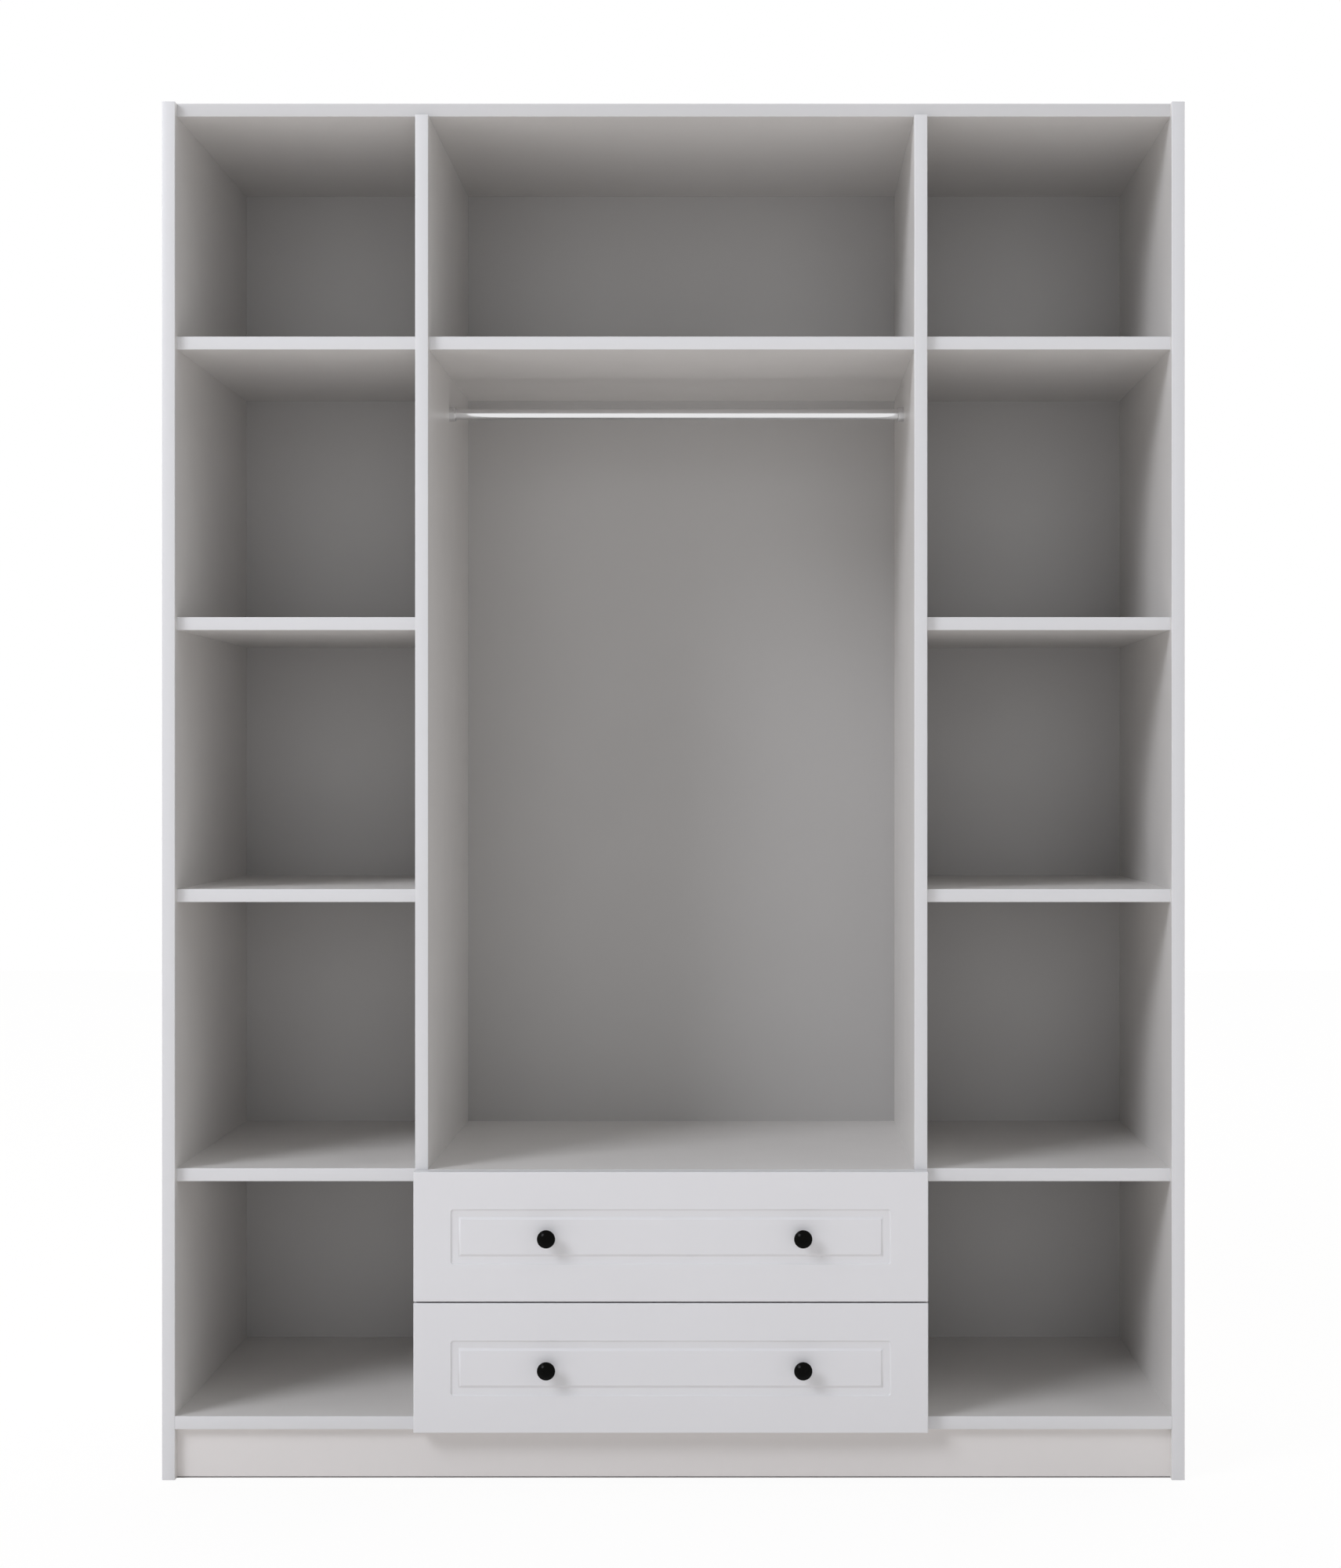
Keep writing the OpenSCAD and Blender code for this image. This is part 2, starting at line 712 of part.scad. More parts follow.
// Places a runner section: u starts at the partition's face on the given side
module runner_at(side, lift) {
    translate([side > 0 ? middle_left_x : middle_right_x, 0, runner_z + lift])
        if (side > 0) children();
        else mirror([1, 0, 0]) children();
}

module runner_bar(y_low, length) {
    translate([0, y_low + length, 0]) rotate([90, 0, 0]) linear_extrude(height = length) children();
}

module channel(side, lift) {
    color(steel) difference() {
        runner_at(side, lift) runner_bar(runner_y, runner_l) channel_section();
        at_channel_screws(side, lift) countersink();
    }
}

module carriage(side, lift) {
    color(steel) runner_at(side, lift)
        runner_bar(runner_y + carriage_trim, runner_l - 2 * carriage_trim) carriage_section();
}

module drawer_rail(side) {
    color(steel) difference() {
        runner_at(side, 0) runner_bar(runner_y, runner_l) drawer_rail_section();
        at_drawer_rail_screws(side) translate([-sheet_t, 0, 0]) rotate([0, 90, 0])
            cylinder(d = screw_d + 2 * fitting_play, h = 3 * sheet_t);
    }
}

// A row of balls in the notches of its cage strip, one above and one below the middle
module ball_row(u_low, u_high, u_ball, w) {
    ball_y = [for (i = [0:ball_count - 1]) cage_y + (i - (ball_count - 1) / 2) * ball_pitch];
    for (level = [w, -w]) {
        difference() {
            board([u_low, cage_y - cage_l / 2, level - cage_t / 2],
                  [u_high, cage_y + cage_l / 2, level + cage_t / 2]);
            for (y = ball_y) translate([u_ball, y, level - cage_t])
                cylinder(d = ball_d + 2 * ball_hole_play, h = 2 * cage_t);
        }
        for (y = ball_y) translate([u_ball, y, level]) sphere(d = ball_d);
    }
}

module outer_ball_cages(lift) {
    color(steel) for (side = [1, -1]) runner_at(side, lift)
        ball_row(sheet_t + cage_play, outer_u + race_r - cage_play, outer_u, outer_w);
}

module inner_ball_cages(lift) {
    color(steel) for (side = [1, -1]) runner_at(side, lift)
        ball_row(2 * sheet_t + web_gap + cage_play, inner_u + race_r - cage_play, inner_u, inner_w);
}

// Cutter for one side of the routed groove: l is the length along the outer edge,
// and the ends are mitred at 45 degrees
module groove_side(l) {
    run = groove_w + bevel_w;
    intersection() {
        translate([-l / 2, 0, 0]) rotate([90, 0, 90]) linear_extrude(height = l) polygon([
            [0, cut], [0, -groove_edge_depth], [groove_w, -groove_depth], [run, 0], [run, cut]
        ]);
        translate([0, 0, -groove_depth - cut]) linear_extrude(height = groove_depth + 3 * cut)
            polygon([
                [-l / 2, 0], [l / 2, 0], [l / 2 - run - cut, run + cut], [-l / 2 + run + cut, run + cut]
            ]);
    }
}

module rounded_rectangle(w, h, r) {
    translate([-w / 2 + r, -h / 2]) square([w - 2 * r, h]);
    translate([-w / 2, -h / 2 + r]) square([w, h - 2 * r]);
    for (x = [-1, 1], y = [-1, 1]) translate([x * (w / 2 - r), y * (h / 2 - r)]) circle(r = r);
}

// Groove cutter around the raised field, in the plane of the front's face
module groove_ring() {
    w = front_w - 2 * groove_margin;
    h = front_h - 2 * groove_margin;
    intersection() {
        union() {
            for (turn = [0, 180]) {
                rotate([0, 0, turn]) translate([0, -h / 2, 0]) groove_side(w);
                rotate([0, 0, turn + 90]) translate([0, -w / 2, 0]) groove_side(h);
            }
        }
        translate([0, 0, -groove_depth - cut]) linear_extrude(height = groove_depth + 3 * cut)
            rounded_rectangle(w, h, groove_corner_r);
    }
}

box_cams = [for (z = box_cam_z) each [
    [[box_left_x + box_t / 2, front_back_y, z], [0, 0, 90], 90],
    [[box_right_x - box_t / 2, front_back_y, z], [0, 0, 90], -90]
]];

// Play of the knob screws in the front, and the radius of their heads
knob_screw_play = 0.25;
knob_screw_head_r = 4;

module drawer_front() {
    color(white) difference() {
        board([left_face_x, front_face_y, front_low_z],
              [right_face_x, front_back_y, front_low_z + front_h]);
        translate([front_mid_x, front_face_y, front_low_z + front_h / 2]) rotate([90, 0, 0]) groove_ring();
        for (x = knob_x) translate([x, front_back_y + cut, knob_z]) rotate([90, 0, 0])
            cylinder(d = knob_screw_d + 2 * knob_screw_play, h = front_t + 2 * cut);
        for (j = box_cams) at_joint(j) cam_face_bore();
        board([box_inner_left - bottom_groove, front_back_y - front_groove, bottom_z],
              [box_inner_right + bottom_groove, front_back_y + cut, bottom_z + bottom_t + 2 * bottom_play]);
    }
}

module at_box_screws(side) {
    for (z = box_screw_z)
        translate([side > 0 ? box_left_x : box_right_x, box_mid_y, z])
            rotate([0, 0, side > 0 ? 0 : 180]) children();
}

// Screw through a drawer side into the end of the drawer back
box_head_sink = 0.3;
box_head_l = 3;
box_head_rim = 1.2;
box_neck_end = box_t - 1;

module box_screw() {
    turned([
        [0, box_head_sink], [box_neck_d / 2 + box_head_rim, box_head_sink],
        [box_neck_d / 2, box_head_sink + box_head_l], [box_neck_d / 2, box_neck_end],
        [box_screw_d / 2, box_neck_end], [box_screw_d / 2, box_screw_l - screw_tip], [0, box_screw_l]
    ]);
}

module box_screw_bore() {
    r = box_neck_d / 2 + fitting_play;
    turned([
        [0, -cut], [r + box_head_rim, -cut], [r + box_head_rim, box_head_sink],
        [r, box_head_sink + box_head_l], [r, box_neck_end + 2 * fitting_play],
        [box_screw_d / 2 + fitting_play, box_neck_end + 2 * fitting_play],
        [box_screw_d / 2 + fitting_play, box_screw_l + bore_spare], [0, box_screw_l + bore_spare]
    ]);
}

module drawer_side(side) {
    x_low = side > 0 ? box_left_x : box_inner_right;
    groove_x = side > 0 ? box_inner_left - bottom_groove : box_inner_right - cut;
    color(white) difference() {
        board([x_low, front_back_y, box_z], [x_low + box_t, box_end_y, box_z + box_h]);
        translate([groove_x, front_back_y - cut, bottom_z])
            cube([bottom_groove + cut, box_l + 2 * cut, bottom_t + 2 * bottom_play]);
        for (j = side > 0 ? left_only(box_cams) : right_only(box_cams)) at_joint(j) cam_end_bores(box_t);
        at_drawer_rail_screws(side) screw_bore();
        at_box_screws(side) box_screw_bore();
    }
}

module drawer_back() {
    color(white) difference() {
        board([box_inner_left, box_end_y - box_t, bottom_z + bottom_t + 2 * bottom_play],
              [box_inner_right, box_end_y, box_z + box_h - back_drop]);
        for (side = [1, -1]) at_box_screws(side) box_screw_bore();
    }
}

module drawer_bottom() {
    entry = bottom_groove - bottom_play;
    color(back_white)
        board([box_inner_left - entry, front_back_y - front_groove + bottom_play, bottom_z + bottom_play],
              [box_inner_right + entry, box_end_y, bottom_z + bottom_play + bottom_t]);
}

// Mushroom knob: foot, neck and a domed head, turned about the screw's axis
module drawer_knob() {
    head_l = 10;
    foot_l = 4;
    edge = 2.5;
    r = knob_d / 2;
    dome_rise = 3.5;
    dome_r = ((r - edge) * (r - edge) + dome_rise * dome_rise) / (2 * dome_rise);
    rim_l = knob_l - dome_rise;
    dome = [for (i = [0:8]) let (a = (8 - i) / 8 * asin((r - edge) / dome_r))
        [dome_r * sin(a), knob_l - dome_r + dome_r * cos(a)]];
    rim = [for (i = [0:6]) let (a = -90 + i * 25) [r - edge + edge * cos(a), rim_l - edge + edge * sin(a)]];
    difference() {
        rotate([90, 0, 0]) rotate_extrude() polygon(concat(
            [[0, 0], [knob_foot_d / 2, 0], [knob_foot_d / 2, foot_l / 2], [knob_neck_d / 2, foot_l],
             [knob_neck_d / 2, knob_l - head_l]],
            rim, dome));
        translate([0, cut, 0]) rotate([90, 0, 0])
            cylinder(d = knob_screw_d + 2 * fitting_play, h = knob_screw_depth + 1 + cut);
    }
}

module drawer_knobs() {
    color(black) for (x = knob_x) translate([x, front_face_y, knob_z]) drawer_knob();
}

module drawer_fittings() {
    color(steel) for (j = box_cams) at_joint(j) {
        cam_housing(box_t);
        cam_bolt();
    }
}

// Knob screw, from the rear face of the front into the knob
module knob_screw() {
    head_r = knob_screw_head_r;
    turned([
        [0, -screw_head_h], [head_r - 1, -screw_head_h], [head_r, -screw_head_h + 1], [head_r, 0],
        [knob_screw_d / 2, 0], [knob_screw_d / 2, front_t + knob_screw_depth],
        [0, front_t + knob_screw_depth]
    ]);
}

module drawer_screws() {
    color(steel) {
        for (x = knob_x) translate([x, front_back_y, knob_z]) rotate([0, 0, -90]) knob_screw();
        for (side = [1, -1]) {
            at_drawer_rail_screws(side) pan_screw();
            at_box_screws(side) box_screw();
        }
    }
}

module upper() {
    translate([0, 0, drawer_pitch]) children();
}

left_side_panel();
right_side_panel();
left_partition();
right_partition();
top_panel();
bottom_panel();
plinth_board();
rear_plinth_rail();
back_panel_left();
back_panel_middle();
back_panel_right();
left_shelf(0);  // left_shelf_1
left_shelf(1);  // left_shelf_2
left_shelf(2);  // left_shelf_3
left_shelf(3);  // left_shelf_4
right_shelf(0);  // right_shelf_1
right_shelf(1);  // right_shelf_2
right_shelf(2);  // right_shelf_3
right_shelf(3);  // right_shelf_4
hat_shelf();
drawer_deck();
hanging_rail();
rail_socket_left();
rail_socket_right();
cam_housings();
cam_bolts();
panel_dowels();
fixing_screws();
channel(1, drawer_pitch);  // upper_left_channel
channel(-1, drawer_pitch);  // upper_right_channel
channel(1, 0);  // lower_left_channel
channel(-1, 0);  // lower_right_channel
carriage(1, drawer_pitch);  // upper_left_carriage
carriage(-1, drawer_pitch);  // upper_right_carriage
carriage(1, 0);  // lower_left_carriage
carriage(-1, 0);  // lower_right_carriage
outer_ball_cages(drawer_pitch);  // upper_outer_ball_cages
inner_ball_cages(drawer_pitch);  // upper_inner_ball_cages
outer_ball_cages(0);  // lower_outer_ball_cages
inner_ball_cages(0);  // lower_inner_ball_cages
upper() drawer_rail(1);  // upper_left_drawer_rail
upper() drawer_rail(-1);  // upper_right_drawer_rail
drawer_rail(1);  // lower_left_drawer_rail
drawer_rail(-1);  // lower_right_drawer_rail
upper() drawer_front();  // upper_drawer_front
drawer_front();  // lower_drawer_front
upper() drawer_side(1);  // upper_drawer_left_side
upper() drawer_side(-1);  // upper_drawer_right_side
upper() drawer_back();  // upper_drawer_back
upper() drawer_bottom();  // upper_drawer_bottom
drawer_side(1);  // lower_drawer_left_side
drawer_side(-1);  // lower_drawer_right_side
drawer_back();  // lower_drawer_back
drawer_bottom();  // lower_drawer_bottom
upper() drawer_knobs();  // upper_drawer_knobs
drawer_knobs();  // lower_drawer_knobs
upper() drawer_fittings();  // upper_drawer_fittings
drawer_fittings();  // lower_drawer_fittings
upper() drawer_screws();  // upper_drawer_screws
drawer_screws();  // lower_drawer_screws
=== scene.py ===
"""Looks of an open three-bay wardrobe with shelves, a hanging rail and two drawers.

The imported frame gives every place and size. The classes here round and band its boards, rout its
drawer fronts, turn its knobs, drive its nails and screws, and give each piece its finish. Lengths
are in metres.
"""

import logging
import math
from dataclasses import dataclass, field
from enum import Enum, StrEnum
from functools import cache, cached_property
from typing import Iterable, Sequence

import bmesh
import bpy
from mathutils import Matrix, Vector


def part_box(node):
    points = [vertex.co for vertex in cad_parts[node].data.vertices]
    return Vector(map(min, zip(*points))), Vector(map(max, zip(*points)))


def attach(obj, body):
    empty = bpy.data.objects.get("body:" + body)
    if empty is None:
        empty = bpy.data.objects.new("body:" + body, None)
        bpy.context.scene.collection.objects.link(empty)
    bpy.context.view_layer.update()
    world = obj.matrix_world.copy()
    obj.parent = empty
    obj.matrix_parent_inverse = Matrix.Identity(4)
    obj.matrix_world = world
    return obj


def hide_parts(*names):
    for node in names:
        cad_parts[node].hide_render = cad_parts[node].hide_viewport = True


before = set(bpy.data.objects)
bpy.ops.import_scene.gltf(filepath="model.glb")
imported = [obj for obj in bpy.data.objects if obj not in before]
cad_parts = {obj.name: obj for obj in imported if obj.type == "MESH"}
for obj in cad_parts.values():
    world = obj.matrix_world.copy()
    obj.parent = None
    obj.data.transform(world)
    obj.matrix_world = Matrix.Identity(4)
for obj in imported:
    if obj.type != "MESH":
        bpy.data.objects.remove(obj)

LOG = logging.getLogger("wardrobe")
CABINET = "cabinet"
WELD = 1e-6
REACH = 1e-5
FLAT_ANGLE = math.radians(0.5)
SHARP_ANGLE = math.radians(35)
NOISE_SPAN = (0.3, 0.7)

Pair = tuple[float, float]
Triple = tuple[float, float, float]
Colour = Triple
Profile = Sequence[Pair]
Shape = bmesh.types.BMesh
Corner = bmesh.types.BMVert
Piece = bpy.types.Object
Material = bpy.types.Material
Socket = bpy.types.NodeSocket


@cache
def box(node: str) -> tuple[Vector, Vector]:
    """Lowest and highest corner of a node at rest, read once."""
    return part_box(node)


class Side(Enum):
    """A face of a node's box, as its axis and its end: 0 for the lower end, 1 for the higher."""

    LEFT = (0, 0)
    RIGHT = (0, 1)
    FRONT = (1, 0)
    REAR = (1, 1)
    BOTTOM = (2, 0)
    TOP = (2, 1)

    @property
    def axis(self) -> int:
        """Number of the axis that the face is square to."""
        return self.value[0]

    @property
    def outward(self) -> Vector:
        """Unit vector that points out of the face."""
        out = Vector((0.0, 0.0, 0.0))
        out[self.axis] = 1.0 if self.value[1] else -1.0
        return out

    def plane(self, node: str) -> float:
        """Where the face of a node's box lies along its axis."""
        return box(node)[self.value[1]][self.axis]

    def holds(self, node: str, points: Iterable[Corner]) -> bool:
        """Whether all the points lie on the face of a node's box."""
        return all(abs(point.co[self.axis] - self.plane(node)) < REACH for point in points)


class Level(StrEnum):
    """Level of a drawer, with which the names of its nodes and bodies start."""

    UPPER = "upper"
    LOWER = "lower"


class Wiring:
    """Nodes of a material or of the world, with the steps that several of them need."""

    def __init__(self, tree: bpy.types.NodeTree) -> None:
        """Keeps the tree's ways to add and link nodes."""
        self.new, self.link = tree.nodes.new, tree.links.new

    def combined(self, operation: str, *values: Socket) -> Socket:
        """Joins values by one operation, two at a time.

        Args:
            operation: Name of the Math node's operation.
            values: The values.

        Returns:
            The result.
        """
        total = values[0]
        for value in values[1:]:
            step = self.new("ShaderNodeMath")
            step.operation = operation
            self.link(total, step.inputs[0])
            self.link(value, step.inputs[1])
            total = step.outputs["Value"]
        return total

    def graded(self, value: Socket, span: Pair, levels: Pair, change: str = "SMOOTHSTEP") -> Socket:
        """Change of level over a span of a value.

        Args:
            value: The value.
            span: Its two ends.
            levels: The level at each end.
            change: Name of the Map Range node's interpolation.

        Returns:
            The level.
        """
        node = self.new("ShaderNodeMapRange")
        node.interpolation_type = change
        names = ("From Min", "From Max", "To Min", "To Max")
        for name, number in zip(names, (*span, *levels)):
            node.inputs[name].default_value = number
        self.link(value, node.inputs["Value"])
        return node.outputs["Result"]

    def seen(self) -> Socket:
        """Whether a ray shows the backdrop: straight to the camera, or by way of metal or glass.

        Returns:
            1 for such a ray and 0 for light on the object.
        """
        path = self.new("ShaderNodeLightPath")
        names = ("Is Camera Ray", "Is Glossy Ray", "Is Transmission Ray")
        return self.combined("MAXIMUM", *(path.outputs[name] for name in names))

    def mixed(self, share: Socket, first: Socket, second: Socket, out: Socket) -> None:
        """Sends a mix of two shaders to an output.

        Args:
            share: Share of the second shader.
            first: The first shader.
            second: The second shader.
            out: The output's socket.
        """
        mix = self.new("ShaderNodeMixShader")
        self.link(share, mix.inputs["Fac"])
        self.link(first, mix.inputs[1])
        self.link(second, mix.inputs[2])
        self.link(mix.outputs["Shader"], out)


class Graph(Wiring):
    """Nodes of one new material, whose patterns lie on Object coordinates."""

    def __init__(self, name: str) -> None:
        """Starts the material with its shader.

        Args:
            name: Name of the material.
        """
        self.material = bpy.data.materials.new(name)
        self.material.use_nodes = True
        tree = self.material.node_tree
        super().__init__(tree)
        self.shader = next(n for n in tree.nodes if n.type == "BSDF_PRINCIPLED")

    @cached_property
    def place(self) -> Socket:
        """Object coordinates, shared by the material's patterns."""
        return self.new("ShaderNodeTexCoord").outputs["Object"]

    def pattern(self, kind: str, cells: Triple) -> bpy.types.Node:
        """Texture with the given number of cells to the metre along each axis.

        Args:
            kind: Type of the texture node.
            cells: Cells to the metre along X, Y and Z.

        Returns:
            The texture node.
        """
        mapping, texture = self.new("ShaderNodeMapping"), self.new(kind)
        mapping.inputs["Scale"].default_value = cells
        texture.inputs["Scale"].default_value = 1.0
        self.link(self.place, mapping.inputs["Vector"])
        self.link(mapping.outputs["Vector"], texture.inputs["Vector"])
        return texture

    def noise(self, cells: Triple, detail: float) -> Socket:
        """Soft noise.

        Args:
            cells: Cells to the metre along X, Y and Z.
            detail: Octaves of finer noise.

        Returns:
            The noise value, from 0 to 1.
        """
        texture = self.pattern("ShaderNodeTexNoise", cells)
        texture.inputs["Detail"].default_value = detail
        return texture.outputs["Fac"]

    def chips(self, cells: Triple) -> Socket:
        """Random grey for each cell, as of pressed chips."""
        return self.pattern("ShaderNodeTexVoronoi", cells).outputs["Color"]

    def tone(self, value: Socket, low: Colour, high: Colour, ends: Pair) -> None:
        """Colours the shader between two colours.

        Args:
            value: The pattern.
            low: Colour at its lower end.
            high: Colour at its upper end.
            ends: The pattern's values at which the colours are reached.
        """
        ramp = self.new("ShaderNodeValToRGB")
        for stop, place, colour in zip(ramp.color_ramp.elements, ends, (low, high)):
            stop.position = place
            stop.color = (*colour, 1.0)
        self.link(value, ramp.inputs["Fac"])
        self.link(ramp.outputs["Color"], self.shader.inputs["Base Color"])

    def gloss(self, value: Socket, roughness: Pair) -> None:
        """Varies the roughness between two values with a pattern."""
        spread = self.graded(value, NOISE_SPAN, roughness, "LINEAR")
        self.link(spread, self.shader.inputs["Roughness"])

    def relief(self, value: Socket, strength: float, height: float) -> None:
        """Raises the surface with a pattern.

        Args:
            value: The pattern.
            strength: Share of the slope that shows.
            height: Height of the pattern.
        """
        bump = self.new("ShaderNodeBump")
        bump.inputs["Strength"].default_value = strength
        bump.inputs["Distance"].default_value = height
        self.link(value, bump.inputs["Height"])
        self.link(bump.outputs["Normal"], self.shader.inputs["Normal"])

    def set(self, **values: float | Sequence[float]) -> None:
        """Sets constants on the shader's own sockets, with underscores for spaces in names."""
        for name, value in values.items():
            self.shader.inputs[name.replace("_", " ")].default_value = value


@dataclass(frozen=True)
class Finish:
    """A finish that is built once, as a procedural material."""

    name: str
    slot: str

    def material(self) -> Material:
        """The finish's material, made at its first use.

        Returns:
            The material.
        """
        known = bpy.data.materials.get(self.name)
        if known:
            return known
        graph = Graph(self.name)
        self.build(graph)
        return graph.material

    def build(self, graph: Graph) -> None:
        """Lays the finish out in an empty graph. Each kind of finish has its own."""
        raise NotImplementedError


@dataclass(frozen=True)
class Coating(Finish):
    """Smooth non-metal coat with faint clouds and a fine orange-peel relief."""

    colour: Colour
    cloud: float = 0.985
    cloud_cells: float = 3.0
    cloud_ends: Pair = (0.35, 0.65)
    roughness: Pair = (0.36, 0.46)
    gloss_cells: float = 9.0
    peel: float = 0.12
    peel_height: float = 0.00006
    peel_cells: float = 700.0
    specular: float = 0.5

    def build(self, graph: Graph) -> None:
        """Lays the coat out.

        Args:
            graph: The empty graph.
        """
        clouds = graph.noise((self.cloud_cells,) * 3, detail=3.0)
        clouded = tuple(c * self.cloud for c in self.colour)
        graph.tone(clouds, clouded, self.colour, self.cloud_ends)
        graph.gloss(graph.noise((self.gloss_cells,) * 3, detail=4.0), self.roughness)
        peel = graph.noise((self.peel_cells,) * 3, detail=1.0)
        graph.relief(peel, self.peel, self.peel_height)
        graph.set(Specular_IOR_Level=self.specular)


class Figure(Enum):
    """What the figure of a bare wooden surface is made of."""

    CHIPS = "pressed chips"
    FIBRES = "fibres or grain"


@dataclass(frozen=True)
class BareWood(Finish):
    """Wood or board without a coat: a board's core, a thin sheet's bare side or a dowel."""

    figure: Figure
    cells: Triple
    low: Colour
    high: Colour
    ends: Pair
    roughness: Pair
    gloss_cells: Triple
    strength: float
    height: float
    detail: float = 4.0
    gloss_detail: float = 4.0

    def build(self, graph: Graph) -> None:
        """Lays the figure out.

        Args:
            graph: The empty graph.
        """
        is_chips = self.figure is Figure.CHIPS
        figure = graph.chips(self.cells) if is_chips else graph.noise(self.cells, self.detail)
        graph.tone(figure, self.low, self.high, self.ends)
        graph.gloss(graph.noise(self.gloss_cells, self.gloss_detail), self.roughness)
        graph.relief(figure, self.strength, self.height)


@dataclass(frozen=True)
class Metal(Finish):
    """Bare or plated metal, whose fine marks may be drawn out along one axis."""

    colour: Colour
    roughness: Pair
    marks: Triple
    dull: float = 0.9
    mark_height: float = 0.00003
    mark_strength: float = 0.15
    smear_scale: float = 0.4

    def build(self, graph: Graph) -> None:
        """Lays the metal out.

        Args:
            graph: The empty graph.
        """
        marks = graph.noise(self.marks, detail=4.0)
        smears = graph.noise(tuple(m * self.smear_scale for m in self.marks), detail=3.0)
        graph.tone(marks, tuple(c * self.dull for c in self.colour), self.colour, NOISE_SPAN)
        graph.gloss(smears, self.roughness)
        graph.relief(marks, self.mark_strength, self.mark_height)
        graph.set(Metallic=1.0)


LAMINATE = Coating("board_laminate", "board_white", (0.705, 0.688, 0.670))
BANDING = Coating(
    "edge_banding", "board_white", (0.662, 0.661, 0.670), roughness=(0.30, 0.38), peel=0.06,
)
# A rougher copy of the edge banding, darker by painted shade, for the top panel's set-back front
# edge.
TOP_BANDING_PAINTED_SHADE = Coating(
    "dull_edge_banding", "board_white", (0.575, 0.570, 0.572), roughness=(0.36, 0.44), peel=0.06,
)
# The plinth's own copy of the board laminate, warmer and a touch lighter: painted bounce light from
# the floor.
PLINTH_COAT_PAINTED_BOUNCE = Coating("plinth_laminate", "board_white", (0.715, 0.690, 0.675))
FOIL = Coating(
    "front_foil", "front_white", (0.717, 0.713, 0.726), roughness=(0.34, 0.42), peel=0.08,
)
# Lacquer of the back sheets and drawer bottoms: a light lacquer, made darker here as painted shade
# of the deep bays.
SHADED_BACK_LACQUER = Coating(
    "back_lacquer", "back_white", (0.455, 0.445, 0.436), roughness=(0.42, 0.52),
)
KNOB_PAINT = Coating(
    "knob_paint", "knob_black", (0.0016, 0.0016, 0.0012), cloud=0.8, roughness=(0.14, 0.20),
    peel=0.05, specular=0.05,
)
CORE = BareWood(
    "chipboard_core", "board_white", Figure.CHIPS, cells=(520.0, 300.0, 520.0),
    low=(0.33, 0.235, 0.14), high=(0.60, 0.475, 0.325), ends=(0.1, 0.9), roughness=(0.75, 0.9),
    gloss_cells=(60.0, 60.0, 60.0), gloss_detail=2.0, strength=0.5, height=0.0003,
)
BACK_RAW = BareWood(
    "bare_hardboard", "back_white", Figure.FIBRES, cells=(900.0, 900.0, 480.0), detail=6.0,
    low=(0.300, 0.200, 0.120), high=(0.415, 0.290, 0.185), ends=(0.25, 0.75),
    roughness=(0.62, 0.8), gloss_cells=(5.0, 5.0, 5.0), strength=0.2, height=0.00008,
)
DOWEL_WOOD = BareWood(
    "dowel_beech", "dowel_wood", Figure.FIBRES, cells=(60.0, 900.0, 900.0),
    low=(0.50, 0.33, 0.19), high=(0.68, 0.50, 0.31), ends=NOISE_SPAN, roughness=(0.5, 0.7),
    gloss_cells=(60.0, 900.0, 900.0), strength=0.3, height=0.0001,
)
CHROME = Metal(
    "polished_chrome", "rail_chrome", (0.80, 0.80, 0.81), roughness=(0.05, 0.10),
    marks=(12.0, 300.0, 300.0), dull=0.97, mark_height=0.000004,
)
RUNNER_STEEL = Metal(
    "zinc_plated_steel", "runner_steel", (0.66, 0.67, 0.69), roughness=(0.26, 0.40),
    marks=(500.0, 14.0, 500.0),
)
BALL_STEEL = Metal(
    "bearing_steel", "ball_steel", (0.72, 0.72, 0.73), roughness=(0.10, 0.18),
    marks=(150.0, 150.0, 150.0), mark_height=0.000006,
)
ZINC_CASTING = Metal(
    "cast_zinc", "fitting_steel", (0.56, 0.57, 0.59), roughness=(0.34, 0.50),
    marks=(260.0, 260.0, 260.0), dull=0.8, mark_height=0.00006,
)
NAIL_STEEL = Metal(
    "nail_steel", "fitting_steel", (0.50, 0.50, 0.52), roughness=(0.30, 0.45),
    marks=(700.0, 700.0, 700.0), dull=0.7,
)


def linked(name: str, data: bpy.types.ID) -> Piece:
    """Makes an object of its data, at the origin of the scene.

    Args:
        name: Name of the object.
        data: Its mesh, lamp or camera.

    Returns:
        The object.
    """
    made = bpy.data.objects.new(name, data)
    bpy.context.scene.collection.objects.link(made)
    return made


def dressed(name: str, shape: Shape, materials: Iterable[Material]) -> Piece:
    """Turns a shape into an object with its materials on its slots.

    Args:
        name: Name of the object.
        shape: The shape, which is freed.
        materials: Materials in the order of the faces' material numbers.

    Returns:
        The object.
    """
    mesh = bpy.data.meshes.new(name)
    shape.to_mesh(mesh)
    shape.free()
    for material in materials:
        mesh.materials.append(material)
    mesh.set_sharp_from_angle(angle=SHARP_ANGLE)
    return linked(name, mesh)


def finished(name: str, shape: Shape, *finishes: Finish) -> Piece:
    """Turns a shape into an object, with the finishes in the order of its material numbers."""
    return dressed(name, shape, (finish.material() for finish in finishes))


def fit(piece: Piece, body: str, slot: str, *nodes: str) -> None:
    """Puts a finished piece on its body.

    Args:
        piece: The piece.
        body: Name of the body that it rides on.
        slot: The record's material slot; not used.
        nodes: Nodes that it stands for.
    """
    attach(piece, body)
    if nodes:
        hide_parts(*nodes)
    LOG.info("%s rides on %s, %d faces", piece.name, body, len(piece.data.polygons))


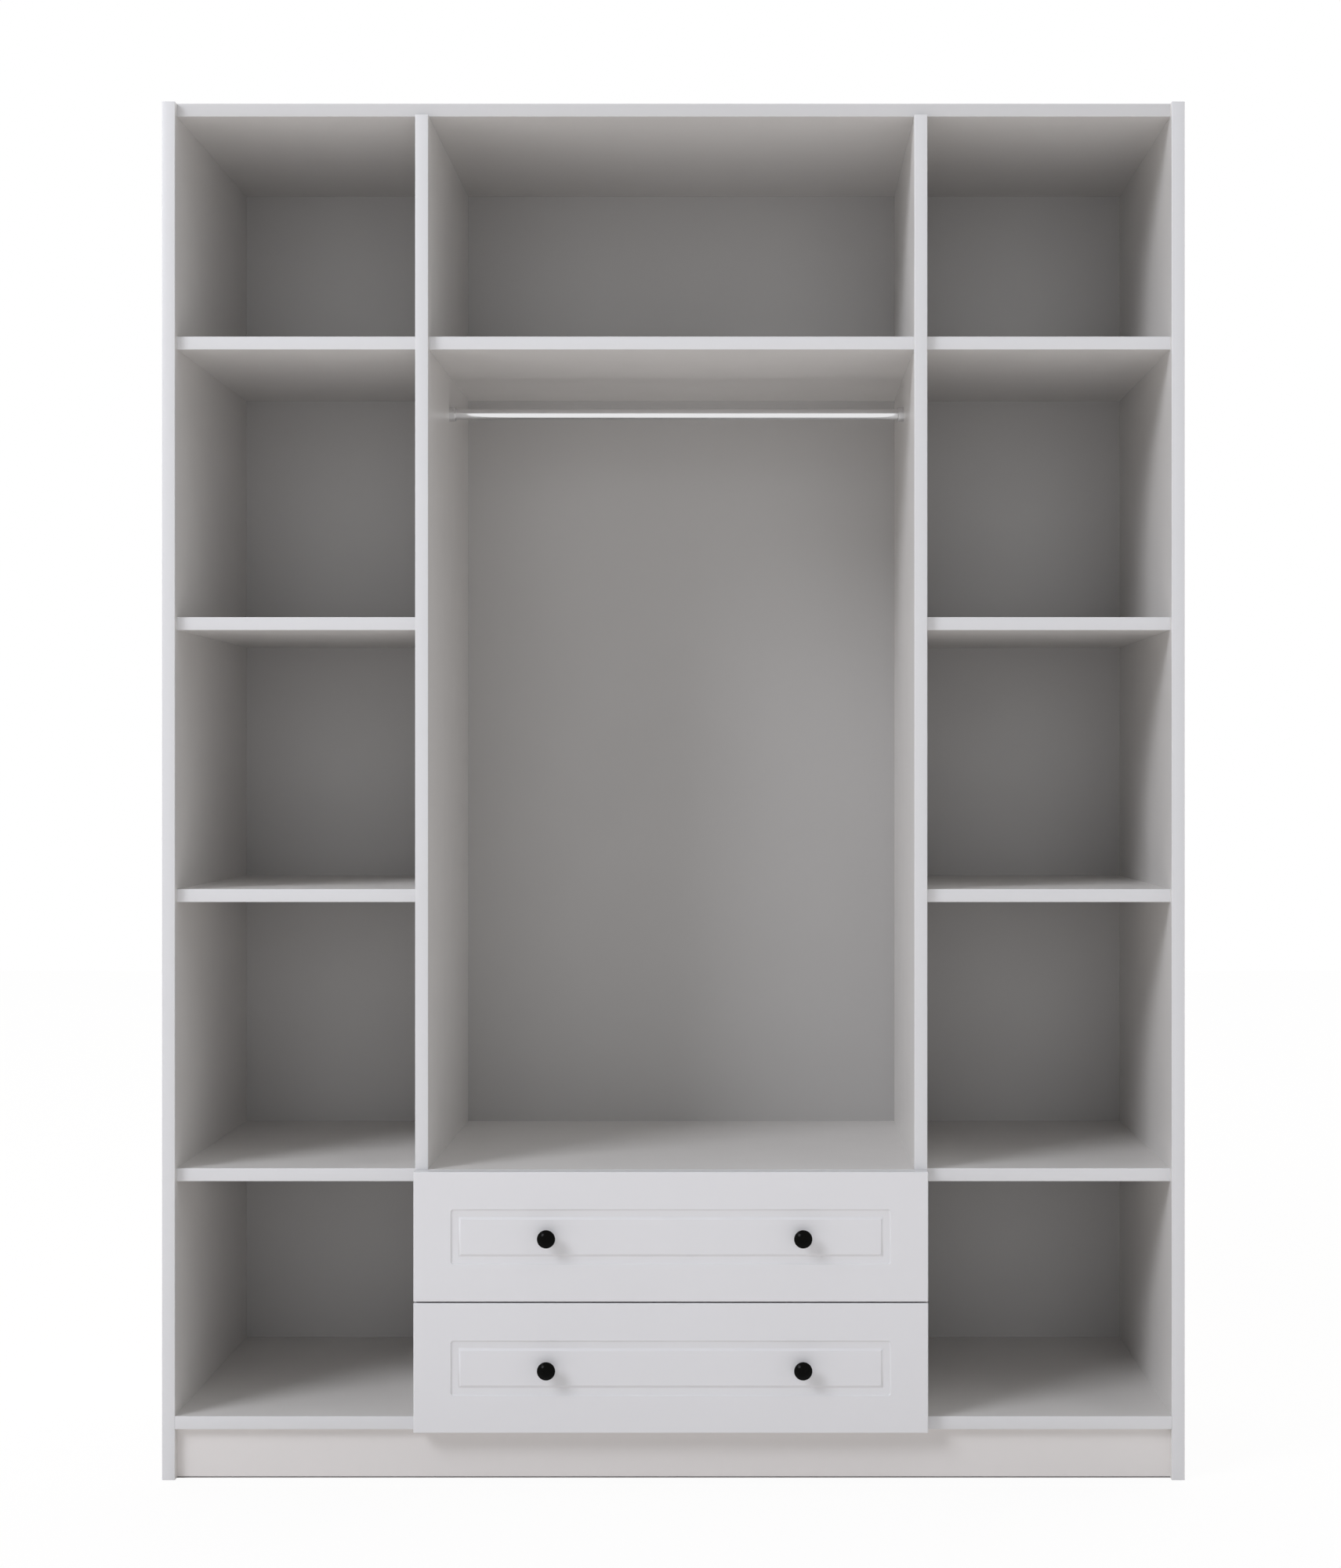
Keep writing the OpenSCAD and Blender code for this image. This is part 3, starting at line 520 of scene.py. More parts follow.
def merged_solid(node: str) -> Shape:
    """Copy of a node's mesh with its triangles joined into whole faces.

    Args:
        node: Name of the node.

    Returns:
        The shape, without smoothed faces.
    """
    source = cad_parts[node].data
    shape = bmesh.new()
    points = [shape.verts.new(v.co) for v in source.vertices]
    for triangle in source.polygons:
        shape.faces.new([points[i] for i in triangle.vertices])
    bmesh.ops.remove_doubles(shape, verts=shape.verts[:], dist=WELD)
    bmesh.ops.dissolve_limit(
        shape, angle_limit=FLAT_ANGLE, use_dissolve_boundaries=False, verts=shape.verts[:],
        edges=shape.edges[:],
    )
    return shape


@dataclass
class Board:
    """A coated board, whose banded faces have a thin strip with rounded edges."""

    node: str
    bands: tuple[Side, ...]
    body: str = CABINET
    coat: Finish = LAMINATE
    band: Finish = BANDING
    band_t: float = 0.0009
    edge_r: float = 0.0008
    segments: int = 3

    def coated(self) -> list[Side]:
        """The two faces across the board's thickness."""
        low, high = box(self.node)
        thin = min(range(3), key=lambda axis: high[axis] - low[axis])
        return [side for side in Side if side.axis == thin]

    def is_banded(self, face: bmesh.types.BMFace) -> bool:
        """Whether a face belongs to one of the strips."""
        middle, strip = face.calc_center_median(), self.band_t - REACH
        return any(abs(middle[side.axis] - side.plane(self.node)) < strip for side in self.bands)

    def cut_bands(self, shape: Shape) -> None:
        """Marks off the strips with a loop of edges each, and clears the edges within them.

        Args:
            shape: The board.
        """
        for side in self.bands:
            point = Vector((0.0, 0.0, 0.0))
            point[side.axis] = side.plane(self.node)
            bmesh.ops.bisect_plane(
                shape, geom=shape.verts[:] + shape.edges[:] + shape.faces[:],
                plane_co=point - self.band_t * side.outward, plane_no=side.outward, dist=WELD,
            )
        flat = [edge for edge in shape.edges if edge.calc_face_angle(1.0) < FLAT_ANGLE]
        needless = [edge for edge in flat if all(self.is_banded(f) for f in edge.link_faces)]
        bmesh.ops.dissolve_edges(shape, edges=needless, use_verts=True)

    def round_bands(self, shape: Shape) -> None:
        """Rounds the strips' edges along the coated faces and where two strips meet.

        Args:
            shape: The board.
        """
        coated = self.coated()
        chosen = []
        for edge in shape.edges:
            on_bands = sum(side.holds(self.node, edge.verts) for side in self.bands)
            on_coated = any(side.holds(self.node, edge.verts) for side in coated)
            if on_bands > 1 or (on_bands == 1 and on_coated):
                chosen.append(edge)
        bmesh.ops.bevel(
            shape, geom=chosen, offset=self.edge_r, offset_type="OFFSET", segments=self.segments,
            profile=0.5, affect="EDGES", clamp_overlap=True,
        )

    def paint(self, shape: Shape) -> None:
        """Gives coated faces number 0, strips 1 and the bare core 2.

        Args:
            shape: The board.
        """
        sides = self.coated()
        for face in shape.faces:
            banded = self.is_banded(face)
            coated = any(side.holds(self.node, face.verts) for side in sides)
            face.material_index = 1 if banded else 0 if coated else 2
            face.smooth = not banded and not coated

    def make(self) -> None:
        """Builds the board in place of its node."""
        shape = merged_solid(self.node)
        self.cut_bands(shape)
        self.round_bands(shape)
        self.paint(shape)
        piece = finished(f"{self.node}_banded", shape, self.coat, self.band, CORE)
        fit(piece, self.body, self.coat.slot, self.node)


@dataclass
class ThinSheet:
    """A thin fibre board, lacquered on one face and bare on the rest."""

    node: str
    lacquered: Side
    body: str = CABINET
    room: float = 0.0

    def make(self) -> None:
        """Builds the sheet in place of its node, with room at its rear for the nail heads."""
        shape = merged_solid(self.node)
        for corner in shape.verts:
            if Side.REAR.holds(self.node, (corner,)):
                corner.co.y -= self.room
        for face in shape.faces:
            face.material_index = 0 if self.lacquered.holds(self.node, face.verts) else 1
            face.smooth = False
        # The lacquered face takes the darkened lacquer, whose grey is partly painted shade.
        piece = finished(f"{self.node}_sheet", shape, SHADED_BACK_LACQUER, BACK_RAW)
        fit(piece, self.body, SHADED_BACK_LACQUER.slot, self.node)


@dataclass
class Carcass:
    """The fixed boards: sides, partitions, top, bottom, plinth, shelves and back."""

    uprights: tuple[str, ...] = (
        "left_side_panel", "right_side_panel", "left_partition", "right_partition",
    )
    front_banded: tuple[str, ...] = ("bottom_panel", "hat_shelf", "drawer_deck")
    rows: Sequence[int] = range(1, 5)
    back: tuple[str, ...] = ("back_panel_left", "back_panel_middle", "back_panel_right")
    nail_room: float = 0.00018

    def make(self) -> None:
        """Builds all the boards."""
        for node in self.uprights:
            Board(node, (Side.FRONT, Side.TOP)).make()
        for node in self.front_banded:
            Board(node, (Side.FRONT,)).make()
        # The top panel's front edge gets the banding that is darkened as painted shade.
        Board("top_panel", (Side.FRONT,), band=TOP_BANDING_PAINTED_SHADE).make()
        for bay in ("left", "right"):
            for row in self.rows:
                Board(f"{bay}_shelf_{row}", (Side.FRONT,)).make()
        # The plinth takes the laminate copy whose warmer tint is painted floor bounce.
        Board("plinth_board", (Side.BOTTOM,), coat=PLINTH_COAT_PAINTED_BOUNCE).make()
        Board("rear_plinth_rail", (Side.BOTTOM,)).make()
        for node in self.back:
            ThinSheet(node, Side.FRONT, room=self.nail_room).make()


def ring(width: float, height: float, radius: float, steps: int) -> list[Pair]:
    """Corner points of a rounded rectangle round the origin.

    Args:
        width: Full width.
        height: Full height.
        radius: Radius of the corners, or 0 for points that fall together.
        steps: Steps in each corner.

    Returns:
        The points, anticlockwise from the right side.
    """
    points = []
    for corner, (sx, sy) in enumerate(((1, 1), (-1, 1), (-1, -1), (1, -1))):
        for step in range(steps + 1):
            turn = math.radians(90 * corner + 90 * step / steps)
            points.append((
                sx * (width / 2 - radius) + radius * math.cos(turn),
                sy * (height / 2 - radius) + radius * math.sin(turn),
            ))
    return points


def skin(shape: Shape, rings: Sequence[Sequence[Corner]]) -> None:
    """Joins rings of points with smooth faces.

    Args:
        shape: The shape.
        rings: The rings, all of one length but for poles, which are a single point.
    """
    for low, high in zip(rings, rings[1:]):
        count = max(len(low), len(high))
        for i in range(count):
            j = (i + 1) % count
            lower = (low[i % len(low)], low[j % len(low)])
            upper = (high[j % len(high)], high[i % len(high)])
            shape.faces.new(list(dict.fromkeys(lower + upper))).smooth = True


def bake_modifiers(piece: Piece) -> None:
    """Replaces a piece's mesh with its evaluated one and drops the modifiers.

    Args:
        piece: The piece.
    """
    graph = bpy.context.evaluated_depsgraph_get()
    mesh = bpy.data.meshes.new_from_object(piece.evaluated_get(graph))
    piece.modifiers.clear()
    old = piece.data
    piece.data = mesh
    mesh.name = piece.name
    bpy.data.meshes.remove(old)


@dataclass
class DrawerFront:
    """A foil-wrapped front with a routed groove round its raised field.

    The points of the groove's wall, foot and arris start with an inset: from the groove's outer
    edge, from its bevel's foot and from the bevel's top. The second number is the depth under the
    face, but at the foot the height over the groove's lowest line.
    """

    level: Level
    wrap_r: float = 0.0018
    corner_r: float = 0.0012
    margin: float = 0.0515
    groove_w: float = 0.0104
    bevel_w: float = 0.0034
    depth: float = 0.0028
    groove_corner_r: float = 0.0035
    wall: Profile = (
        (-0.0007, 0.0), (-0.00035, 0.00005), (-0.00005, 0.0003), (0.00025, 0.0008),
        (0.0006, 0.00135), (0.00095, 0.0016), (0.0014, 0.0017),
    )
    foot: Profile = ((-0.0004, 0.00007), (-0.0001, 0.00002), (0.0003, 0.00018))
    arris: Profile = ((-0.0005, 0.00042), (-0.0002, 0.00018), (0.0001, 0.00005), (0.0005, 0.0))
    steps: int = 6

    def section(self) -> list[Triple]:
        """The front's section from the rear edge to the field, as inset, depth and corner radius.

        Returns:
            The section's points.
        """
        turns = [math.radians(90 * i / self.steps) for i in range(self.steps + 1)]
        wrap = [
            (self.wrap_r * (1 - math.cos(a)), self.wrap_r * (1 - math.sin(a)), self.corner_r)
            for a in turns
        ]
        corner_r = self.groove_corner_r
        wall = [(self.margin + inset, depth, corner_r - inset) for inset, depth in self.wall]
        edge_depth = self.wall[-1][1]
        fall = (self.depth - edge_depth) * corner_r / self.groove_w
        floor = (self.margin + corner_r, edge_depth + fall, 0.0)
        foot_at = self.margin + self.groove_w
        foot = [(foot_at + inset, self.depth - rise, 0.0) for inset, rise in self.foot]
        arris = [(foot_at + self.bevel_w + inset, depth, 0.0) for inset, depth in self.arris]
        return [*wrap, *wall, floor, *foot, *arris]

    def make(self) -> None:
        """Builds the front in place of its node."""
        node = f"{self.level}_drawer_front"
        low, high = box(node)
        width, height, thickness = high.x - low.x, high.z - low.z, high.y - low.y
        middle = (low + high) / 2
        shape = bmesh.new()
        rings = []
        for inset, depth, radius in [(0.0, thickness, self.corner_r), *self.section()]:
            outline = ring(width - 2 * inset, height - 2 * inset, radius, self.steps)
            rings.append([
                shape.verts.new((middle.x + x, low.y + depth, middle.z + z)) for x, z in outline
            ])
        skin(shape, rings)
        rear = shape.faces.new(list(reversed(rings[0])))
        rear.material_index = 1
        shape.faces.new(rings[-1]).smooth = True
        bmesh.ops.remove_doubles(shape, verts=shape.verts[:], dist=WELD)
        bmesh.ops.recalc_face_normals(shape, faces=shape.faces[:])
        piece = finished(f"{self.level}_routed_front", shape, FOIL, LAMINATE)
        weighted = piece.modifiers.new("even_shading", "WEIGHTED_NORMAL")
        weighted.keep_sharp = True
        bake_modifiers(piece)
        fit(piece, f"{self.level}_drawer", FOIL.slot, node)


def turned(shape: Shape, profile: Profile, steps: int, place: Matrix) -> list[list[Corner]]:
    """Adds a turned form to a shape.

    Args:
        shape: The shape.
        profile: Radius and height along the axis, with radius 0 at a pole.
        steps: Steps round the axis.
        place: Matrix that puts the form, turned about its own Z, in its place.

    Returns:
        The form's rings of points.
    """
    rings = []
    for radius, height in profile:
        turns = [2 * math.pi * i / steps for i in range(steps if radius > 0 else 1)]
        rings.append([
            shape.verts.new(place @ Vector((radius * math.cos(a), radius * math.sin(a), height)))
            for a in turns
        ])
    skin(shape, rings)
    return rings


@dataclass
class KnobPair:
    """Two black mushroom knobs on one drawer front, with radius and height along the stem."""

    level: Level
    steps: int = 64
    stem: Profile = (
        (0.0, 0.0), (0.0068, 0.0), (0.007, 0.0003), (0.007, 0.0014), (0.0067, 0.0019),
        (0.0062, 0.0026), (0.0054, 0.0037), (0.005, 0.0055), (0.005, 0.0085), (0.0053, 0.0108),
        (0.0061, 0.0125),
    )
    under_r: float = 0.0076
    under_l: float = 0.0102
    rim_r: float = 0.0026
    rim_degrees: Iterable[int] = range(-80, 64, 13)
    dome_rise: float = 0.0036
    dome_steps: int = 9
    dome_start: float = 0.93

    def profile(self, radius: float, length: float) -> list[Pair]:
        """The knob's section from its foot to the crown.

        Args:
            radius: Radius of the head.
            length: Projection from the front.

        Returns:
            Radius and height of each point.
        """
        under = (self.under_r, length - self.under_l)
        flat_r = radius - self.rim_r
        rim_z = length - self.dome_rise - self.rim_r
        rim = [
            (flat_r + self.rim_r * math.cos(a), rim_z + self.rim_r * math.sin(a))
            for a in map(math.radians, self.rim_degrees)
        ]
        dome_r = (flat_r ** 2 + self.dome_rise ** 2) / (2 * self.dome_rise)
        start = math.asin(rim[-1][0] / dome_r) * self.dome_start
        turns = [start * (1 - i / self.dome_steps) for i in range(self.dome_steps)]
        dome = [(dome_r * math.sin(a), length - dome_r + dome_r * math.cos(a)) for a in turns]
        return [*self.stem, under, *rim, *dome, (0.0, length)]

    def make(self) -> None:
        """Builds both knobs in place of their node."""
        node = f"{self.level}_drawer_knobs"
        low, high = box(node)
        radius, length = (high.z - low.z) / 2, high.y - low.y
        shape = bmesh.new()
        forwards = Matrix.Rotation(math.radians(90), 4, "X")
        for x in (low.x + radius, high.x - radius):
            place = Matrix.Translation((x, high.y, low.z + radius)) @ forwards
            turned(shape, self.profile(radius, length), self.steps, place)
        bmesh.ops.recalc_face_normals(shape, faces=shape.faces[:])
        piece = finished(f"{self.level}_turned_knobs", shape, KNOB_PAINT)
        fit(piece, f"{self.level}_drawer", KNOB_PAINT.slot, node)


def spun(points: Profile, turns: int) -> tuple[Pair, ...]:
    """Outline that repeats its points round the origin.

    Args:
        points: The points of one turn.
        turns: Turns to the circle.

    Returns:
        All the points.
    """
    steps = [2 * math.pi * k / turns for k in range(turns)]
    return tuple(
        (math.cos(a) * x - math.sin(a) * y, math.sin(a) * x + math.cos(a) * y)
        for a in steps for x, y in points
    )


class Recess(Enum):
    """Shape of the driver's recess: the outline's points for a head of diameter 1."""

    CROSS = spun(((0.065, -0.065), (0.27, -0.055), (0.27, 0.055)), 4)
    HEXAGON = spun(((0.26, 0.0),), 6)
    NONE = ()


@dataclass(frozen=True)
class Fastener:
    """A screw or nail whose head has diameter 1, with its seat at the origin, facing +Z."""

    name: str
    head: Profile
    shank: Profile
    recess: Recess = Recess.CROSS
    recess_depth: float = 0.26
    recess_taper: float = 0.55
    steps: int = 24

    def pattern_object(self, finish: Finish) -> Piece:
        """Builds the fastener once, as the object that the tree repeats.

        Args:
            finish: The fastener's finish.

        Returns:
            The object.
        """
        shape = bmesh.new()
        top = turned(shape, (*self.shank, *self.head), self.steps, Matrix())[-1]
        if len(top) > 1:
            self.close_head(shape, top)
        bmesh.ops.recalc_face_normals(shape, faces=shape.faces[:])
        return finished(self.name, shape, finish)

    def close_head(self, shape: Shape, rim: list[Corner]) -> None:
        """Fills the head's top round its recess, and sinks the recess.

        Args:
            shape: The fastener.
            rim: The last ring of points.
        """
        top, taper = rim[0].co.z, self.recess_taper
        outline = self.recess.value
        mouth = [shape.verts.new((x, y, top)) for x, y in outline]
        low = top - self.recess_depth
        floor = [shape.verts.new((x * taper, y * taper, low)) for x, y in outline]
        edges = [
            shape.edges.get(ends) or shape.edges.new(ends)
            for loop in (rim, mouth) for ends in zip(loop, loop[1:] + loop[:1])
        ]
        bmesh.ops.triangle_fill(shape, use_beauty=True, edges=edges)
        for i, corner in enumerate(mouth):
            j = (i + 1) % len(mouth)
            shape.faces.new((corner, mouth[j], floor[j], floor[i]))
        shape.faces.new(floor)


NAIL = Fastener(
    "nail", head=((0.5, 0.03), (0.5, 0.115), (0.42, 0.137), (0.0, 0.145)),
    shank=((0.0, -1.6), (0.2, -1.0)), recess=Recess.NONE, steps=8,
)
COUNTERSUNK = Fastener(
    "countersunk_screw", head=((0.5, -0.015), (0.485, 0.0)),
    shank=((0.0, -2.0), (0.2, -1.5), (0.25, -1.45), (0.25, -0.19)), recess_depth=0.3,
)
PAN_HEAD = Fastener(
    "pan_screw", head=((0.5, 0.0), (0.5, 0.16), (0.46, 0.24), (0.38, 0.295), (0.34, 0.305)),
    shank=((0.0, -1.9), (0.2, -1.5), (0.25, -1.4), (0.25, 0.0)), recess_depth=0.2,
)
BOX_SCREW = Fastener(
    "box_screw", head=((0.5, -0.03), (0.485, -0.01), (0.46, 0.0)),
    shank=((0.0, -5.2), (0.24, -4.9), (0.26, -4.8), (0.26, -1.55), (0.36, -1.5), (0.36, -0.34)),
    recess=Recess.HEXAGON, recess_taper=0.98, recess_depth=0.42,
)


def fastener_tree() -> bpy.types.NodeTree:
    """Geometry Nodes that set a fastener on each point, along the point's own axis.

    Returns:
        The tree, with inputs for the fastener, its head's diameter, its turn, the seed and the
        finish.
    """
    tree = bpy.data.node_groups.new("set_fasteners", "GeometryNodeTree")
    inputs = (
        ("Points", "Geometry"), ("Fastener", "Object"), ("Head Diameter", "Float"),
        ("Least Turn", "Vector"), ("Greatest Turn", "Vector"), ("Seed", "Int"),
        ("Finish", "Material"),
    )
    for name, kind in inputs:
        tree.interface.new_socket(name=name, in_out="INPUT", socket_type=f"NodeSocket{kind}")
    tree.interface.new_socket(
        name="Fasteners", in_out="OUTPUT", socket_type="NodeSocketGeometry",
    )
    new = tree.nodes.new
    given, result = new("NodeGroupInput"), new("NodeGroupOutput")
    axis = new("GeometryNodeInputNamedAttribute")
    axis.data_type = "FLOAT_VECTOR"
    axis.inputs["Name"].default_value = "axis"
    aim = new("FunctionNodeAlignRotationToVector")
    aim.axis = "Z"
    chance = new("FunctionNodeRandomValue")
    chance.data_type = "FLOAT_VECTOR"
    turn = new("FunctionNodeRotateRotation")
    turn.rotation_space = "LOCAL"
    source = new("GeometryNodeObjectInfo")
    setting = new("GeometryNodeInstanceOnPoints")
    realize = new("GeometryNodeRealizeInstances")
    paint = new("GeometryNodeSetMaterial")
    wires = (
        (axis, "Attribute", aim, "Vector"),
        (given, "Least Turn", chance, "Min"),
        (given, "Greatest Turn", chance, "Max"),
        (given, "Seed", chance, "Seed"),
        (aim, "Rotation", turn, "Rotation"),
        (chance, "Value", turn, "Rotate By"),
        (given, "Fastener", source, "Object"),
        (given, "Points", setting, "Points"),
        (source, "Geometry", setting, "Instance"),
        (turn, "Rotation", setting, "Rotation"),
        (given, "Head Diameter", setting, "Scale"),
        (setting, "Instances", realize, "Geometry"),
        (realize, "Geometry", paint, "Geometry"),
        (given, "Finish", paint, "Material"),
        (paint, "Geometry", result, "Fasteners"),
    )
    for start, output, end, into in wires:
        tree.links.new(start.outputs[output], end.inputs[into])
    return tree


@dataclass
class FastenerSet:
    """Fasteners of one kind, set by the tree on their points."""

    kind: Fastener
    head_d: float
    finish: Finish
    seed: int
    lean: float = 0.0
    points: list[tuple[Vector, Vector]] = field(default_factory=list)

    def add(self, point: Iterable[float], facing: Side) -> None:
        """Adds a fastener with its head's seat at a point, facing one way."""
        self.points.append((Vector(point), facing.outward))

    def make(self, name: str) -> Piece:
        """Runs the tree.

        Args:
            name: Name of the result.

        Returns:
            One plain object with all the fasteners.
        """
        mesh = bpy.data.meshes.new(name)
        mesh.from_pydata([point for point, _ in self.points], [], [])
        axis = mesh.attributes.new("axis", "FLOAT_VECTOR", "POINT")
        axis.data.foreach_set("vector", [c for _, facing in self.points for c in facing])
        piece = linked(name, mesh)
        tree = bpy.data.node_groups.get("set_fasteners") or fastener_tree()
        source = self.kind.pattern_object(self.finish)
        setter = piece.modifiers.new("set_fasteners", "NODES")
        setter.node_group = tree
        values = {
            "Fastener": source, "Head Diameter": self.head_d, "Seed": self.seed,
            "Least Turn": (-self.lean, -self.lean, -math.pi),
            "Greatest Turn": (self.lean, self.lean, math.pi),
            "Finish": self.finish.material(),
        }
        for item in tree.interface.items_tree:
            if item.item_type == "SOCKET" and item.name in values:
                setter[item.identifier] = values[item.name]
        bake_modifiers(piece)
        bpy.data.objects.remove(source)
        return piece


def joined(name: str, pieces: Sequence[Piece]) -> Piece:
    """Joins plain objects into a new one, which takes their place.

    Args:
        name: Name of the result.
        pieces: Objects at the origin.

    Returns:
        The joined object.
    """
    shape = bmesh.new()
    materials: list[Material] = []
    for piece in pieces:
        before = len(shape.faces)
        shape.from_mesh(piece.data)
        shape.faces.ensure_lookup_table()
        for face in shape.faces[before:]:
            face.material_index += len(materials)
        materials.extend(piece.data.materials)
        bpy.data.objects.remove(piece)
    return dressed(name, shape, materials)


def spaced(low: float, high: float, pitch: float) -> list[float]:
    """Even places from low to high, both taken in, about a pitch apart."""
    count = max(1, round((high - low) / pitch))
    return [low + (high - low) * i / count for i in range(count + 1)]


@dataclass
class BackNails:
    """Nails that hold the back panels on the rear edges of the boards."""

    head_d: float = 0.0032
    pitch: float = 0.125
    edge: float = 0.007
    seam_edge: float = 0.005
    sink: float = 0.00051
    lean: float = math.radians(1.5)
    middle_shelves: tuple[str, ...] = ("hat_shelf", "drawer_deck")

    def make(self) -> None:
        """Drives the nails."""
        nails = FastenerSet(NAIL, self.head_d, NAIL_STEEL, seed=11, lean=self.lean)
        carcass = Carcass()
        side_shelves = [f"left_shelf_{row}" for row in carcass.rows]
        left, middle, right = (box(node) for node in carcass.back)
        rear = left[1].y - self.sink
        bottom_z, top_z = left[0].z + self.edge, left[1].z - self.edge
        columns = [left[0].x + self.edge, right[1].x - self.edge]
        for seam in (left[1].x, right[0].x):
            columns += [seam - self.seam_edge, seam + self.seam_edge]
        for x in columns:
            for z in spaced(bottom_z, top_z, self.pitch):
                nails.add((x, rear, z), Side.REAR)
        for low, high in (left, middle, right):
            inner = spaced(low.x + self.edge, high.x - self.edge, self.pitch)[1:-1]
            shelves = self.middle_shelves if low.x == middle[0].x else side_shelves
            heights = [bottom_z, top_z] + [(box(s)[0].z + box(s)[1].z) / 2 for s in shelves]
            for z in heights:
                for x in inner:
                    nails.add((x, rear, z), Side.REAR)
        fit(nails.make("back_panel_nails"), CABINET, NAIL_STEEL.slot)


@dataclass
class CabinetScrews:
    """Screws of the channels and of the rail sockets."""

    head_d: float = 0.0068
    sheet_t: float = 0.0012
    inset: float = 0.035
    socket_floor: float = 0.0025
    sink: float = 0.00005

    def make(self) -> None:
        """Drives the screws in place of their node."""
        screws = FastenerSet(COUNTERSUNK, self.head_d, ZINC_CASTING, seed=3)
        for side, inward in (("left", Side.RIGHT), ("right", Side.LEFT)):
            step = inward.outward.x
            for level in Level:
                low, high = box(f"{level}_{side}_channel")
                web = (low.x if step > 0 else high.x) + step * (self.sheet_t - self.sink)
                for y in (low.y + self.inset, (low.y + high.y) / 2, high.y - self.inset):
                    screws.add((web, y, (low.z + high.z) / 2), inward)
            low, high = box(f"rail_socket_{side}")
            seat = (low.x if step > 0 else high.x) + step * (self.socket_floor - self.sink)
            screws.add((seat, (low.y + high.y) / 2, (low.z + high.z) / 2), inward)
        fit(screws.make("cabinet_screws"), CABINET, ZINC_CASTING.slot, "fixing_screws")


@dataclass
class Drawer:
    """One drawer: front, knobs, box, bottom and screws."""

    level: Level
    rail_inset: float = 0.07
    sheet_t: float = 0.0012
    rail_head_d: float = 0.0068
    knob_head_d: float = 0.008
    box_head_d: float = 0.0094
    box_inset: float = 0.024
    box_sink: float = 0.0003

    @property
    def body(self) -> str:
        """Name of the drawer's body."""
        return f"{self.level}_drawer"

    def screws(self) -> None:
        """Drives the drawer's screws in place of their node."""
        pan = FastenerSet(PAN_HEAD, self.rail_head_d, ZINC_CASTING, seed=5)
        knob = FastenerSet(PAN_HEAD, self.knob_head_d, ZINC_CASTING, seed=9)
        corner = FastenerSet(BOX_SCREW, self.box_head_d, ZINC_CASTING, seed=13)
        rear = box(f"{self.body}_back")
        for side, outward in (("left", Side.LEFT), ("right", Side.RIGHT)):
            step = outward.outward.x
            rail = box(f"{self.level}_{side}_drawer_rail")
            wall = box(f"{self.body}_{side}_side")
            face = outward.plane(f"{self.body}_{side}_side")
            for y in (rail[0].y + self.rail_inset, rail[1].y - self.rail_inset):
                pan.add((face + step * self.sheet_t, y, (rail[0].z + rail[1].z) / 2), outward)
            for z in (wall[0].z + self.box_inset, wall[1].z - self.box_inset):
                corner.add((face - step * self.box_sink, (rear[0].y + rear[1].y) / 2, z), outward)
        low, high = box(f"{self.body}_knobs")
        radius = (high.z - low.z) / 2
        inner_face = Side.REAR.plane(f"{self.body}_front")
        for x in (low.x + radius, high.x - radius):
            knob.add((x, inner_face, low.z + radius), Side.REAR)
        parts = [pan.make("pan_screws"), knob.make("knob_screws"), corner.make("box_screws")]
        piece = joined(f"{self.body}_screw_set", parts)
        fit(piece, self.body, ZINC_CASTING.slot, f"{self.body}_screws")

    def make(self) -> None:
        """Builds the drawer."""
        DrawerFront(self.level).make()
        KnobPair(self.level).make()
        for part in ("left_side", "right_side", "back"):
            Board(f"{self.body}_{part}", (Side.TOP,), self.body, segments=2).make()
        ThinSheet(f"{self.body}_bottom", Side.TOP, self.body).make()
        self.screws()


@dataclass
class Metalwork:
    """Frame nodes that keep their shape and get their finish: rail, runners and fittings."""

    chromed: tuple[str, ...] = ("hanging_rail", "rail_socket_left", "rail_socket_right")
    cast: tuple[str, ...] = (
        "cam_housings", "cam_bolts", "upper_drawer_fittings", "lower_drawer_fittings",
    )
    runner_parts: tuple[str, ...] = ("channel", "carriage", "drawer_rail")

    def make(self) -> None:
        """Dresses the nodes."""
        finishes: dict[str, Finish] = {"panel_dowels": DOWEL_WOOD}
        finishes |= dict.fromkeys(self.chromed, CHROME) | dict.fromkeys(self.cast, ZINC_CASTING)
        for level in Level:
            for row in ("outer", "inner"):
                finishes[f"{level}_{row}_ball_cages"] = BALL_STEEL
            for side in ("left", "right"):
                for part in self.runner_parts:
                    finishes[f"{level}_{side}_{part}"] = RUNNER_STEEL
        for node, finish in finishes.items():
            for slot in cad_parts[node].material_slots:
                slot.material = finish.material()
            LOG.info("%s keeps its shape in %s", node, finish.name)


